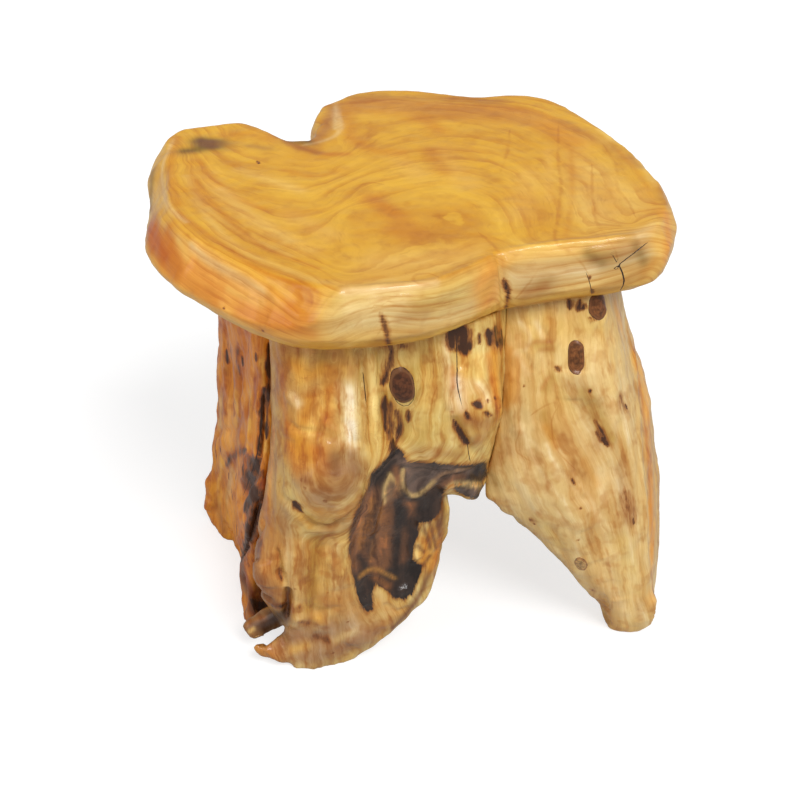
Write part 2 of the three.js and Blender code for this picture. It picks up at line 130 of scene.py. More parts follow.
class Carving:
    """A piece of root wood under the gouge: its points, which way they face, and its marks."""

    def __init__(self, name, nodes, face_size, relaxing, base_tint, gap=()):
        weld_gap = 0.02 * mm
        self.piece = bpy.data.objects.new(name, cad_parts[nodes[0]].data.copy())
        scene.collection.objects.link(self.piece)
        block = bmesh.new()
        for node in nodes:
            block.from_mesh(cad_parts[node].data)
        bmesh.ops.remove_doubles(block, verts=block.verts, dist=weld_gap)
        block.to_mesh(self.piece.data)
        block.free()
        self.piece.data.materials.clear()
        if gap:
            self.cut_through(gap)
        remesh = self.piece.modifiers.new("even_faces", "REMESH")
        remesh.mode = "VOXEL"
        remesh.voxel_size = face_size
        relax = self.piece.modifiers.new("relax", "SMOOTH")
        relax.iterations = relaxing
        apply_modifiers(self.piece)
        self.read()
        count = len(self.places)
        self.tone = np.tile(np.array(wood_tints[base_tint]), (count, 1))
        self.burnt = np.tile(np.array(wood_tints["soot"]), (count, 1))
        unmarked = -1.0
        far_off = 99.0
        self.stain_and_shade = np.full(count, unmarked)
        self.char = np.full(count, unmarked)
        self.lines = {kind: np.full(count, far_off) for kind in ("crack", "vein")}
        self.near_lines = {kind: np.zeros(count) for kind in ("crack", "vein")}

    def cut_through(self, outline):
        """Cuts the piece right through where the photograph shows daylight in an outline."""
        wedge = bmesh.new()
        reach = 250 * mm
        near, far = (
            [wedge.verts.new(photo_eye + photo_sight(pixel) * distance) for pixel in outline]
            for distance in (photo_distance - reach, photo_distance + reach)
        )
        wedge.faces.new(near)
        wedge.faces.new(far)
        for number in range(len(outline)):
            wedge.faces.new((near[number - 1], near[number], far[number], far[number - 1]))
        bmesh.ops.triangulate(wedge, faces=wedge.faces)
        bmesh.ops.recalc_face_normals(wedge, faces=wedge.faces)
        mesh = bpy.data.meshes.new("daylight")
        wedge.to_mesh(mesh)
        wedge.free()
        cutter = bpy.data.objects.new("daylight", mesh)
        scene.collection.objects.link(cutter)
        cut = self.piece.modifiers.new("daylight", "BOOLEAN")
        cut.object = cutter
        apply_modifiers(self.piece)
        bpy.data.objects.remove(cutter)
        bpy.data.meshes.remove(mesh)

    def read(self):
        """Takes the mesh's points and facings into arrays, and a tree to look them up in."""
        mesh = self.piece.data
        count = len(mesh.vertices)
        self.places = np.empty(count * 3, np.float32)
        mesh.vertices.foreach_get("co", self.places)
        self.places = self.places.reshape(-1, 3).astype(float)
        self.facings = np.empty(count * 3, np.float32)
        mesh.vertex_normals.foreach_get("vector", self.facings)
        self.facings = self.facings.reshape(-1, 3).astype(float)
        self.tree = BVHTree.FromPolygons(
            self.places.tolist(), [tuple(face.vertices) for face in mesh.polygons]
        )

    def write(self):
        """Puts the points back into the mesh, none below the floor, and reads it again."""
        self.places[:, 2] = np.maximum(self.places[:, 2], 0)
        self.piece.data.vertices.foreach_set("co", self.places.astype(np.float32).ravel())
        self.piece.data.update()
        self.read()

    def line(self, pixels):
        """The points on the piece under a smooth curve through a row of pixels.

        The curve is a spline through the pixels, looked up every few pixels.
        """
        step = 4
        row = []
        knots = [pixels[0], *pixels, pixels[-1]]
        for before, start, end, after in zip(knots, knots[1:], knots[2:], knots[3:]):
            parts = max(1, round(math.dist(start, end) / step))
            for part in range(parts):
                t = part / parts
                row.append([
                    b + t / 2 * (c - a + t * (2 * a - 5 * b + 4 * c - d + t * (3 * (b - c) + d - a)))
                    for a, b, c, d in zip(before, start, end, after)
                ])
        row.append(pixels[-1])
        return np.array([seen_on(self.tree, pixel)[0] for pixel in row])

    def away(self, row, reach):
        """The points within reach of a row, and each one's distance, side and share along it."""
        low = row.min(axis=0) - reach
        high = row.max(axis=0) + reach
        near = np.nonzero(((self.places > low) & (self.places < high)).all(axis=1))[0]
        places = self.places[near]
        facings = self.facings[near]
        if len(row) == 1:
            distance = np.linalg.norm(places - row[0], axis=1)
            return near, distance, np.ones(len(near)), np.full(len(near), 0.5)
        distance = np.full(len(near), np.inf)
        side = np.ones(len(near))
        share = np.zeros(len(near))
        for number, (start, end) in enumerate(zip(row, row[1:])):
            along = end - start
            run = np.clip((places - start) @ along / max(along @ along, 1e-12), 0, 1)
            gap = places - (start + run[:, None] * along)
            size = np.linalg.norm(gap, axis=1)
            nearer = size < distance
            distance[nearer] = size[nearer]
            across = np.cross(along, facings[nearer])
            side[nearer] = np.where(np.einsum("ij,ij->i", across, gap[nearer]) < 0, -1, 1)
            share[nearer] = (number + run[nearer]) / (len(row) - 1)
        return near, distance, side, share

    def carve(self, cuts):
        """Raises the wood round rows of pixels, or sinks it where the rise is below zero.

        Cut: half its width, its rise, then its rows.
        """
        reach = 2.6
        for half_width, rise, *rows in cuts:
            for pixels in rows:
                near, distance, _, share = self.away(self.line(pixels), reach * half_width * mm)
                ends = 1.12 - np.abs(2 * share - 1) ** 4
                taper = 1 if len(pixels) == 1 else np.clip(ends, 0, 1)
                profile = np.exp(-((distance / (half_width * mm)) ** 2)) * taper
                self.places[near] += self.facings[near] * (profile * rise * mm)[:, None]

    def push(self, shifts, upright=False):
        """Moves the wood round rows of pixels, as seen in the photograph.

        Shift: half its width, how far it goes to the right and down, then its rows. An
        upright shift moves what stands above and below a row as far as the row.
        """
        axes = slice(0, 2 if upright else 3)
        for half_width, (across, down), *rows in shifts:
            move = Vector((across, 0, 0)) - photo_up * down
            for pixels in rows:
                row = self.line(pixels)
                gaps = self.places[:, None, axes] - row[None, :, axes]
                distance = np.linalg.norm(gaps, axis=2).min(axis=1)
                profile = np.exp(-((distance / (half_width * mm)) ** 2))
                self.places += profile[:, None] * np.array(move * mm)

    def ripple(self, size, rise, seed, stretch=1.0):
        """Gives the surface the unevenness that the gouge and hand sanding leave."""
        shift = Vector((seed, seed * 2.3, seed * 0.7))
        scale = np.array([1, 1, 1 / stretch]) / (size * mm)
        lift = [noise.noise(Vector(place) + shift) for place in self.places * scale]
        self.places += self.facings * (np.array(lift) * rise * mm)[:, None]

    def outline_depth(self, pixels):
        """How many pixels each point lies inside an outline that the photograph shows on it."""
        offset = self.places - np.array(photo_eye)
        depth = -offset @ np.array(towards_photo)
        x = photo_side / 2 + photo_focal * offset[:, 0] / depth
        y = photo_side / 2 - photo_focal * (offset @ np.array(photo_up)) / depth
        inside = np.zeros(len(x), bool)
        nearest = np.full(len(x), np.inf)
        for (x0, y0), (x1, y1) in zip(pixels, pixels[1:] + pixels[:1]):
            crosses = (y0 > y) != (y1 > y)
            with np.errstate(divide="ignore", invalid="ignore"):
                inside ^= crosses & (x < (x1 - x0) * (y - y0) / (y1 - y0) + x0)
            length = max((x1 - x0) ** 2 + (y1 - y0) ** 2, 1e-9)
            run = np.clip(((x - x0) * (x1 - x0) + (y - y0) * (y1 - y0)) / length, 0, 1)
            gap = np.hypot(x - x0 - run * (x1 - x0), y - y0 - run * (y1 - y0))
            nearest = np.minimum(nearest, gap)
        centre = [sum(values) / len(pixels) for values in zip(*pixels)]
        spread = max(math.dist(centre, pixel) for pixel in pixels) * 1.35
        middle = np.array(seen_on(self.tree, centre)[0])
        close = np.linalg.norm(self.places - middle, axis=1) < spread * mm
        shown = (self.facings @ np.array(towards_photo) > 0) & close
        return np.where(shown, np.where(inside, nearest, -nearest), -99)

    def wash(self, layer, washes):
        """Washes rows of pixels with tints that fade out from them.

        Wash: its tint, how strong it is, half its width, then its rows.
        """
        reach = 2.4
        for tint, strength, half_width, *rows in washes:
            colour = np.array(wood_tints[tint])
            for pixels in rows:
                near, distance, _, _ = self.away(self.line(pixels), reach * half_width * mm)
                amount = strength * np.exp(-((distance / (half_width * mm)) ** 2))
                layer[near] += (colour - layer[near]) * amount[:, None]

    def tint(self, washes):
        """Tints the sound wood."""
        self.wash(self.tone, washes)

    def scorch(self, washes):
        """Tints the burnt wood."""
        self.wash(self.burnt, washes)

    def mark(self, stains_and_shade):
        """Stains rows of pixels dark brown, in patches, and lays painted shade the same way.

        Mark: half its width, how dark it is, then its rows.
        """
        patch_size = 13 * mm
        for half_width, strength, *rows in stains_and_shade:
            for pixels in rows:
                near, distance, _, share = self.away(self.line(pixels), 2 * half_width * mm)
                ends = 1 if len(pixels) == 1 else 1 - 0.5 * np.abs(2 * share - 1) ** 4
                patchy = [noise.noise(Vector(place)) for place in self.places[near] / patch_size]
                fading = 1 - distance / (half_width * mm * ends)
                value = strength * (fading + 0.5 * np.array(patchy))
                self.stain_and_shade[near] = np.maximum(self.stain_and_shade[near], value)

    def draw(self, kind, strokes):
        """Draws thin lines along rows of pixels: dark drying cracks, or amber veins.

        Stroke: half its width, then its rows.
        """
        reach = 12 * mm
        halo = 3.2 * mm
        line, near_line = self.lines[kind], self.near_lines[kind]
        for half_width, *rows in strokes:
            for pixels in rows:
                near, distance, side, share = self.away(self.line(pixels), reach)
                width = half_width * mm * (1.1 - np.abs(2 * share - 1) ** 4)
                value = np.clip(side * distance / width, -98, 98)
                nearer = np.abs(value) < np.abs(line[near])
                line[near[nearer]] = value[nearer]
                close = np.exp(-((distance / halo) ** 2))
                near_line[near] = np.maximum(near_line[near], close)

    def lay_grain(self, leaning, guides=()):
        """Lays the growth rings through rows of pixels that each follow one ring.

        Guide: how far out its ring lies, then its row. Where none is near, the rings lean
        as the given direction says.
        """
        self.grain = self.places @ leaning
        if not guides:
            return
        spots = []
        levels = []
        for level, pixels in guides:
            for spot in self.line(pixels)[::3]:
                spots.append(spot)
                levels.append(level * mm - spot @ leaning)
        spots = np.array(spots)
        count = len(spots)
        table = np.ones((count + 1, count + 1))
        table[:count, :count] = np.linalg.norm(spots[:, None] - spots[None], axis=2)
        table[:count, :count] -= np.eye(count) * mm
        table[count, count] = 0
        weights = np.linalg.lstsq(table, np.append(levels, 0), rcond=None)[0]
        for spot, weight in zip(spots, weights):
            self.grain += weight * np.linalg.norm(self.places - spot, axis=1)
        self.grain += weights[-1]

    def fleck(self, count, seed, lengths, half_width, strength, side):
        """Scatters dark flecks along the grain on one side of the piece."""
        chance = random.Random(seed)
        facing_side = np.nonzero(self.facings @ np.array(side) > 0.25)[0]
        for _ in range(count):
            spot = self.places[facing_side[chance.randrange(len(facing_side))]]
            reach = chance.uniform(*lengths) * mm
            lean = chance.uniform(-0.25, 0.25)
            width = half_width * chance.uniform(0.6, 1.3) * mm
            row = np.array([
                spot + np.array([lean, lean, 1]) * reach * share for share in (-0.5, 0, 0.5)
            ])
            near, distance, _, _ = self.away(row, 2 * width)
            value = strength * (1 - distance / width)
            self.stain_and_shade[near] = np.maximum(self.stain_and_shade[near], value)

    def finish(self, slot, material, *nodes):
        """Stores the marks on the mesh, and puts the piece in its CAD node's place."""
        mesh = self.piece.data
        for name, values in (
            ("grain", self.grain / mm),
            ("stain_and_shade", self.stain_and_shade),
            ("char", self.char),
            ("crack", self.lines["crack"]),
            ("crack_near", self.near_lines["crack"]),
            ("vein", self.lines["vein"]),
            ("vein_near", self.near_lines["vein"]),
        ):
            mesh.attributes.new(name, "FLOAT", "POINT").data.foreach_set(
                "value", values.astype(np.float32)
            )
        for name, layer in (("tone", self.tone), ("burnt", self.burnt)):
            colours = np.c_[layer, np.ones(len(layer))].astype(np.float32)
            mesh.attributes.new(name, "FLOAT_COLOR", "POINT").data.foreach_set(
                "color", colours.ravel()
            )
        mesh.shade_smooth()
        mesh.materials.append(material)
        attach(self.piece, "root")
        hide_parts(*nodes)


class Wiring:
    """Adds nodes to a material and joins them up."""

    def __init__(self, material):
        material.use_nodes = True
        self.tree = material.node_tree
        self.shader = self.tree.nodes["Principled BSDF"]

    def add(self, kind, inputs=(), **settings):
        """Adds a node with its inputs joined up and its settings made."""
        node = self.tree.nodes.new(kind)
        for name, value in settings.items():
            setattr(node, name, value)
        for socket, value in dict(inputs).items():
            self.join(value, node.inputs[socket])
        return node

    def join(self, value, socket):
        """Links a socket to another, or sets it to a plain value."""
        if isinstance(value, bpy.types.NodeSocket):
            self.tree.links.new(value, socket)
        else:
            socket.default_value = value

    def sum(self, operation, *values):
        """One step of arithmetic."""
        return self.add("ShaderNodeMath", enumerate(values), operation=operation).outputs[0]

    def fade(self, value, low, high, to_low=0.0, to_high=1.0):
        """A smooth step from one value to another."""
        inputs = {
            "Value": value, "From Min": low, "From Max": high, "To Min": to_low, "To Max": to_high,
        }
        return self.add("ShaderNodeMapRange", inputs, interpolation_type="SMOOTHSTEP").outputs[0]

    def blend(self, amount, first, second, blend_type="MIX"):
        """As much of the second colour laid over the first as the amount says."""
        node = self.add("ShaderNodeMix", data_type="RGBA", blend_type=blend_type)
        self.join(amount, node.inputs["Factor"])
        colours = [socket for socket in node.inputs if socket.type == "RGBA"]
        for value, socket in zip((first, second), colours):
            self.join((*value, 1) if isinstance(value, tuple) else value, socket)
        return next(socket for socket in node.outputs if socket.type == "RGBA")

    def shade(self, amount, base, colour):
        """The base colour multiplied by another, by an amount."""
        return self.blend(amount, base, colour, "MULTIPLY")

    def mark(self, name, output="Fac"):
        """What is stored on the mesh under a name."""
        return self.add("ShaderNodeAttribute", attribute_name=name).outputs[output]

    def clouds(self, vector, scale, detail=3.0, roughness=0.55, distortion=0.0):
        """Cloudy noise from 0 to 1."""
        inputs = {
            "Vector": vector, "Scale": scale, "Detail": detail,
            "Roughness": roughness, "Distortion": distortion,
        }
        return self.add("ShaderNodeTexNoise", inputs).outputs["Fac"]


def lacquered_wood(name, ring_spacing, rings, swirl, streaks, blotches, scribbles, unevenness):
    """Clear-lacquered root wood: its tone, with streaks and rings that follow the grain.

    Ring spacing and swirl are in millimetres, and the rest say how strongly each shows.
    """
    material = bpy.data.materials.new(name)
    mix = Wiring(material)
    place = mix.add("ShaderNodeTexCoord").outputs["Object"]
    axes = mix.add("ShaderNodeSeparateXYZ", {"Vector": place}).outputs
    ahead = mix.sum("ADD", axes["Y"], axes["Z"])
    bent = mix.sum("MULTIPLY_ADD", mix.clouds(place, 34, 3), swirl, mix.mark("grain"))

    def along(across_scale, along_scale):
        """Coordinates stretched along the grain: fine across it, slow along it."""
        return mix.add("ShaderNodeCombineXYZ", {
            "X": mix.sum("MULTIPLY", bent, across_scale),
            "Y": mix.sum("MULTIPLY", axes["X"], along_scale),
            "Z": mix.sum("MULTIPLY", ahead, along_scale),
        }).outputs[0]

    streak = mix.clouds(along(0.13, 8), 1, 4, 0.6)
    fibre = mix.clouds(along(0.8, 26), 1, 3, 0.6)
    broad = mix.clouds(along(0.035, 6), 1, 2, 0.5)

    # Streaks darken and lighten the local tone by like amounts.
    base = mix.mark("tone", "Color")
    base = mix.shade(mix.fade(broad, 0.50, 0.32, 0, 0.6 * streaks), base, (0.84, 0.64, 0.38))
    base = mix.shade(mix.fade(broad, 0.50, 0.68, 0, 0.6 * streaks), base, (1.10, 1.18, 1.40))
    base = mix.shade(mix.fade(streak, 0.50, 0.30, 0, 0.8 * streaks), base, (0.78, 0.56, 0.30))
    base = mix.shade(mix.fade(streak, 0.50, 0.70, 0, 0.8 * streaks), base, (1.14, 1.26, 1.60))
    base = mix.shade(mix.fade(fibre, 0.46, 0.26, 0, 0.6 * streaks), base, (0.74, 0.56, 0.36))
    base = mix.shade(mix.fade(fibre, 0.54, 0.74, 0, 0.5 * streaks), base, (1.14, 1.26, 1.55))

    # Blotches where the wood took up more or less of the lacquer.
    blotch = mix.clouds(along(0.07, 20), 1, 3, 0.6)
    mottle = mix.clouds(place, 60, 2, 0.5)
    base = mix.shade(mix.fade(blotch, 0.48, 0.34, 0, 0.9 * blotches), base, (0.72, 0.52, 0.32))
    base = mix.shade(mix.fade(blotch, 0.53, 0.68, 0, 0.9 * blotches), base, (1.16, 1.26, 1.50))
    base = mix.shade(mix.fade(mottle, 0.48, 0.30, 0, 0.7 * blotches), base, (0.76, 0.56, 0.38))

    # Late wood: a thin darker line at the outer side of each ring, in places only.
    reached = mix.sum("MULTIPLY_ADD", broad, ring_spacing * 1.6, bent)
    turn = mix.sum("FRACT", mix.sum("DIVIDE", reached, ring_spacing))
    ring = mix.sum("MULTIPLY", mix.fade(turn, 0.45, 0.93), mix.fade(turn, 1.0, 0.95))
    ring = mix.sum("MULTIPLY", ring, mix.fade(mix.clouds(place, 17, 2), 0.38, 0.60, 0.1, rings))
    base = mix.shade(ring, base, (0.74, 0.48, 0.20))

    # Fine wandering lines and pores.
    ridge = mix.sum("ABSOLUTE", mix.sum("SUBTRACT", mix.clouds(place, 62, 3, 0.55, 1.4), 0.5))
    in_patches = mix.fade(mix.clouds(place, 21, 1), 0.48, 0.60)
    scribble = mix.sum("MULTIPLY", mix.fade(ridge, 0.016, 0.003), in_patches)
    scribble = mix.sum("MULTIPLY", scribble, scribbles)
    base = mix.shade(scribble, base, (0.50, 0.28, 0.13))
    pores = mix.clouds(along(0.9, 230), 1, 2, 0.5)
    base = mix.shade(mix.fade(pores, 0.70, 0.80, 0, scribbles), base, (0.34, 0.17, 0.08))

    # Amber veins, a little wavy.
    waver = mix.sum("MULTIPLY_ADD", mix.clouds(place, 150, 2), 3.0, -1.5)
    vein = mix.sum("ABSOLUTE", mix.sum("ADD", mix.mark("vein"), waver))
    vein = mix.sum("MULTIPLY", mix.fade(vein, 2.4, 0.2, 0, 0.5), mix.fade(mix.mark("vein_near"), 0.3, 0.6))
    vein = mix.sum("MULTIPLY", vein, mix.fade(mix.clouds(place, 40, 2), 0.36, 0.56, 0.25, 1.0))
    base = mix.shade(vein, base, (0.78, 0.56, 0.32))

    # Brown stains, and painted shade laid the same way, with edges drawn out along the grain.
    rough_edge = mix.sum("MULTIPLY_ADD", mix.clouds(along(0.32, 80), 1, 4, 0.6), 1.5, -1.35)
    ragged = mix.sum("MULTIPLY_ADD", fibre, 1.2, rough_edge)
    stain_and_shade = mix.sum("ADD", mix.mark("stain_and_shade"), ragged)
    base = mix.shade(mix.fade(stain_and_shade, -0.55, 0.45, 0, 0.85), base, (0.62, 0.36, 0.16))
    base = mix.blend(mix.fade(stain_and_shade, 0.18, 0.52, 0, 0.85), base, (0.17, 0.058, 0.014))
    base = mix.blend(mix.fade(stain_and_shade, 0.60, 0.86, 0, 0.85), base, (0.036, 0.011, 0.004))

    # Burnt wood: soot with brown fibres showing through.
    burn = mix.sum("MULTIPLY_ADD", ragged, 0.9, mix.mark("char"))
    burn_area = mix.fade(burn, -0.12, 0.20)
    flame = mix.clouds(along(0.12, 14), 1, 4, 0.6)
    fire = mix.sum("MULTIPLY_ADD", mix.clouds(place, 70, 4, 0.6, 0.5), 0.6, flame)
    burnt = mix.shade(mix.fade(fire, 0.78, 0.98, 0, 0.8), mix.mark("burnt", "Color"), (0.30, 0.25, 0.24))
    burnt = mix.shade(mix.fade(fire, 0.78, 0.58, 0, 0.9), burnt, (1.9, 1.7, 1.5))
    base = mix.shade(mix.fade(burn, -0.75, -0.02, 0, 0.75), base, (0.50, 0.29, 0.16))
    base = mix.blend(burn_area, base, burnt)

    # Drying cracks.
    crack = mix.sum("ABSOLUTE", mix.sum("MULTIPLY_ADD", waver, 0.5, mix.mark("crack")))
    slit = mix.sum("MULTIPLY", mix.fade(crack, 1.1, 0.6), mix.fade(mix.mark("crack_near"), 0.3, 0.6))
    base = mix.blend(slit, base, (0.030, 0.013, 0.008))

    mix.join(base, mix.shader.inputs["Base Color"])
    rough = mix.fade(mix.sum("SUBTRACT", streak, burn_area), -0.4, 0.6, 0.30, 0.46)
    mix.join(rough, mix.shader.inputs["Roughness"])
    mix.join(0.25, mix.shader.inputs["Specular IOR Level"])
    mix.join(0.3, mix.shader.inputs["Coat Weight"])
    mix.join(0.14, mix.shader.inputs["Coat Roughness"])

    # The lacquer follows the ups and downs of the grain.
    bump_height = 1.0 * mm
    relief = mix.sum("MULTIPLY_ADD", fibre, 0.25, mix.sum("MULTIPLY", streak, 0.8))
    relief = mix.sum("MULTIPLY_ADD", mix.clouds(place, 85, 3, 0.5, 0.15), unevenness, relief)
    burrs = mix.sum("MULTIPLY", burn_area, mix.clouds(place, 210, 4))
    relief = mix.sum("MULTIPLY_ADD", burrs, 1.4, relief)
    grooves = mix.sum("MULTIPLY_ADD", scribble, 0.1, slit)
    relief = mix.sum("MULTIPLY_ADD", grooves, -2.5, relief)
    bump = mix.add("ShaderNodeBump", {"Height": relief, "Strength": 0.35, "Distance": bump_height})
    mix.join(bump.outputs[0], mix.shader.inputs["Normal"])
    mix.join(bump.outputs[0], mix.shader.inputs["Coat Normal"])
    return material


# The daylight between the dead twig and the hooked toe of the foot.
toe_gap = [
    (234, 640), (251, 640), (266, 636), (277, 630), (288, 621), (288, 627), (282, 639),
    (276, 648), (269, 644), (259, 653), (234, 655),
]
trunk = Carving(
    "trunk_block", ["trunk", "front_knot"],
    face_size=2.2 * mm, relaxing=4, base_tint="straw", gap=toe_gap,
)

# The knob on the front of the pillar, the saddle under it and the fold beside it.
knob_cuts = [
    (24, 6, [(332, 486)]),
    (12, 4, [(318, 450), (345, 448)]),
    (5, -4.5, [(280, 494), (298, 512), (314, 526), (333, 528), (352, 516), (366, 498), (368, 476)]),
    (12, -3, [(300, 545), (335, 545)]),
    (4, -4.5, [(363, 345), (363, 377), (366, 402), (366, 433), (368, 459)]),
    (9, 3, [(350, 365), (351, 400), (352, 440)]),
    (7, -2.5, [(322, 356), (320, 390), (312, 425)]),
    (8, 2.5, [(298, 365), (294, 400), (290, 440)]),
    (4, -4, [(292, 501), (302, 511)]),
]
trunk.carve(knob_cuts)
trunk.write()

# The panel with the oval knot, the strip beside it, and the burl on its right.
panel_cuts = [
    (6, 2.2, [(372, 350), (373, 400), (374, 445)]),
    (4, -2.6, [(384, 390), (385, 420), (388, 446)]),
    (16, 2, [(403, 387)]),
    (9, -2.2, [(425, 350), (430, 385), (424, 430)]),
    (5, 3, [(446, 345), (447, 380), (449, 410)]),
    (5, -2.5, [(459, 345), (461, 370)]),
    (18, 6, [(476, 410)]),
    (3.5, -4.5, [(453, 416), (459, 431), (468, 445), (474, 458)]),
    (4, -2.5, [(474, 396), (480, 406)]),
    (6, 2.5, [(496, 350), (497, 390), (498, 420)]),
]
trunk.carve(panel_cuts)
trunk.write()

# The burnt hollow beside the arch, with its rims, lobe and tab, and the flap under it.
char_outline = [
    (397, 447), (390, 454), (382, 463), (371, 474), (368, 488), (360, 503), (350, 530), (349, 546),
    (352, 568), (355, 587), (360, 605), (367, 614), (373, 609), (372, 592), (376, 584), (386, 590),
    (393, 598), (404, 599), (413, 594), (417, 582), (424, 566), (413, 560), (413, 549), (418, 536),
    (420, 523), (436, 519), (441, 508), (442, 497), (445, 489), (452, 484), (463, 483), (481, 483),
    (487, 474), (486, 460), (473, 465), (451, 465), (429, 463), (406, 461), (403, 452),
]
flap_outline = [
    (454, 487), (466, 484), (484, 485), (490, 496), (486, 501), (470, 498), (458, 493),
]
# How deep the hollow is, and how many pixels its side takes to slope down.
hollow_depth = 4.5 * mm
hollow_slope = 8
sunk_share = np.clip(trunk.outline_depth(char_outline) / hollow_slope, 0, 1)
trunk.places -= trunk.facings * (sunk_share * hollow_depth)[:, None]
trunk.write()
hollow_cuts = [
    (5, 3, [(386, 472), (378, 500), (370, 535)]),
    (7, -3, [(410, 500), (404, 530), (398, 562)]),
    (3, 3, [(357, 580), (366, 573), (380, 574), (392, 582)]),
    (6, 5, [(396, 590), (410, 586)]),
    (6, 3, [(364, 590), (366, 606)]),
    (2.2, 2.4, [(404, 466), (402, 478), (404, 490), (416, 497), (433, 486), (441, 475), (468, 468)]),
    (2.2, 2.0, [(406, 464), (435, 467), (465, 470)]),
    (8, -3, [(418, 480)]),
    (3, 2, [(390, 476), (385, 495)], [(390, 476), (397, 500)]),
    (4.5, 4, [(418, 556)]),
    (2.5, 2.2, [(419, 522), (428, 536), (434, 552)]),
    (5, 3, [(441, 488), (455, 484), (478, 484)]),
]
trunk.carve(hollow_cuts)
trunk.write()

# The foot: the lobe over the cave, its slit, its small knot hole and the fold above it.
foot_cuts = [
    (13, 6, [(261, 560), (262, 584)]),
    (3.5, -6, [(264, 520), (255, 545), (250, 563), (252, 578), (262, 594), (274, 602)]),
    (3, -9, [(288, 588), (287, 602), (285, 618)]),
    (3, -5, [(277, 548), (279, 566), (284, 586)]),
    (4.5, -6, [(279, 574)]),
    (9, 4, [(300, 540), (297, 580), (298, 630)]),
    (9, -3, [(318, 545), (320, 590), (316, 625)]),
    (10, 3, [(342, 540), (338, 590)]),
    (9, -3, [(312, 640), (330, 640)]),
    (12, 3, [(372, 628), (350, 645)]),
    (3, -2.5, [(384, 604), (398, 612), (410, 606)]),
]
trunk.carve(foot_cuts)
foot_shifts = [
    (13, (-13, 0), [(270, 648), (280, 662)]),
    (9, (3, 0), [(445, 512), (442, 548)]),
    (9, (2, 8), [(466, 489), (484, 491)]),
]
trunk.push(foot_shifts)
trunk.write()

# The shallow gouge marks and swellings all over the trunk.
gouge_cuts = [
    (3, 2, [(262, 644), (272, 655), (285, 662)]),
    (4, -2, [(300, 600), (318, 612), (340, 606)], [(352, 600), (362, 628), (392, 640)]),
    (5, 2, [(276, 640), (300, 618), (330, 625)], [(330, 560), (352, 585)]),
    (3, -1.6, [(306, 352), (300, 368), (312, 378)], [(330, 350), (336, 372), (328, 392)]),
    (3, -1.5, [(286, 420), (300, 430), (322, 432)], [(344, 420), (356, 446)]),
    (3, 1.6, [(284, 392), (296, 408), (300, 428)], [(312, 395), (322, 420), (340, 436)]),
    (3, 1.3, [(412, 350), (420, 375), (414, 400), (404, 425)], [(432, 345), (438, 372), (432, 405)]),
    (2.6, -1.3, [(422, 352), (428, 380), (422, 410), (410, 438)], [(378, 352), (380, 380), (381, 412)]),
]
trunk.carve(gouge_cuts)
trunk.ripple(size=26, rise=2.2, seed=3.1, stretch=1.6)
trunk.ripple(size=11, rise=1.3, seed=6.4, stretch=2.2)
trunk.ripple(size=5, rise=0.5, seed=2.6, stretch=2.0)
trunk.write()

# How sharply the burnt wood ends at its outlines, in pixels.
char_edge = 5
for outline in (char_outline, flap_outline):
    inside_share = np.clip(trunk.outline_depth(outline) / char_edge, -1, 1)
    trunk.char = np.maximum(trunk.char, inside_share)

# Tones of the pillar: tan with an orange flank, pale where it was sanded through, a painted highlight of
# cream and ivory down its front, and painted shade just under the seat.
flank_start = -110 * mm
flank_fade = 22 * mm
flank_share = np.clip((flank_start - trunk.places[:, 0]) / flank_fade, 0, 0.9)
trunk.tone += (np.array(wood_tints["tan"]) - trunk.tone) * flank_share[:, None]
pillar_tints = [
    ("tan", 0.9, 20, [(285, 350), (292, 400), (296, 450)], [(320, 350), (322, 400), (318, 440)]),
    ("tan", 0.75, 12, [(348, 350), (350, 372)], [(270, 400), (268, 460)]),
    # Painted shade: the clay and olive rows along the top, just under the seat, darken it as the seat's
    # shadow; their rows that run down are streaks in the wood.
    ("clay", 0.7, 7, [(278, 350), (310, 350), (345, 350)], [(276, 352), (278, 400)]),
    ("olive", 0.5, 6, [(350, 350), (380, 348)], [(322, 352), (324, 368)]),
    ("gold", 0.6, 7, [(300, 362), (302, 380)], [(330, 372), (328, 400)], [(344, 352), (346, 366)]),
    ("amber", 0.6, 7, [(292, 362), (310, 374), (322, 368)], [(310, 398), (304, 424)]),
    ("orange", 0.6, 6, [(282, 372), (284, 405), (288, 435)], [(336, 388), (326, 420)]),
    ("amber", 0.8, 11, [(296, 452), (322, 462)], [(298, 440), (302, 470)]),
    ("orange", 0.6, 8, [(290, 448), (298, 475)], [(318, 452), (326, 466)]),
    ("butter", 0.75, 5, [(334, 378), (334, 404)], [(322, 408), (314, 425)], [(306, 430), (318, 438)]),
    # Painted highlight: the lamp's gleam on the lacquer down the pillar's front, laid over paler wood.
    ("cream", 1.0, 8, [(351, 392), (352, 412), (351, 436), (354, 450)]),
    ("ivory", 0.7, 5, [(353, 425), (355, 446)]),
    ("cream", 0.6, 4, [(338, 384), (340, 400)], [(340, 440), (352, 446)], [(292, 396), (298, 404)]),
    ("straw", 0.8, 5, [(360, 352), (361, 400), (362, 450)]),
    ("bark", 0.55, 4, [(366, 370), (367, 400), (368, 440)], [(340, 352), (352, 372)]),
    ("tan", 0.95, 14, [(270, 350), (270, 420), (268, 470), (264, 530)]),
    ("clay", 0.6, 6, [(270, 370), (266, 430), (264, 480)]),
    ("peach", 0.6, 6, [(274, 430), (270, 480), (264, 530)]),
]
trunk.tint(pillar_tints)

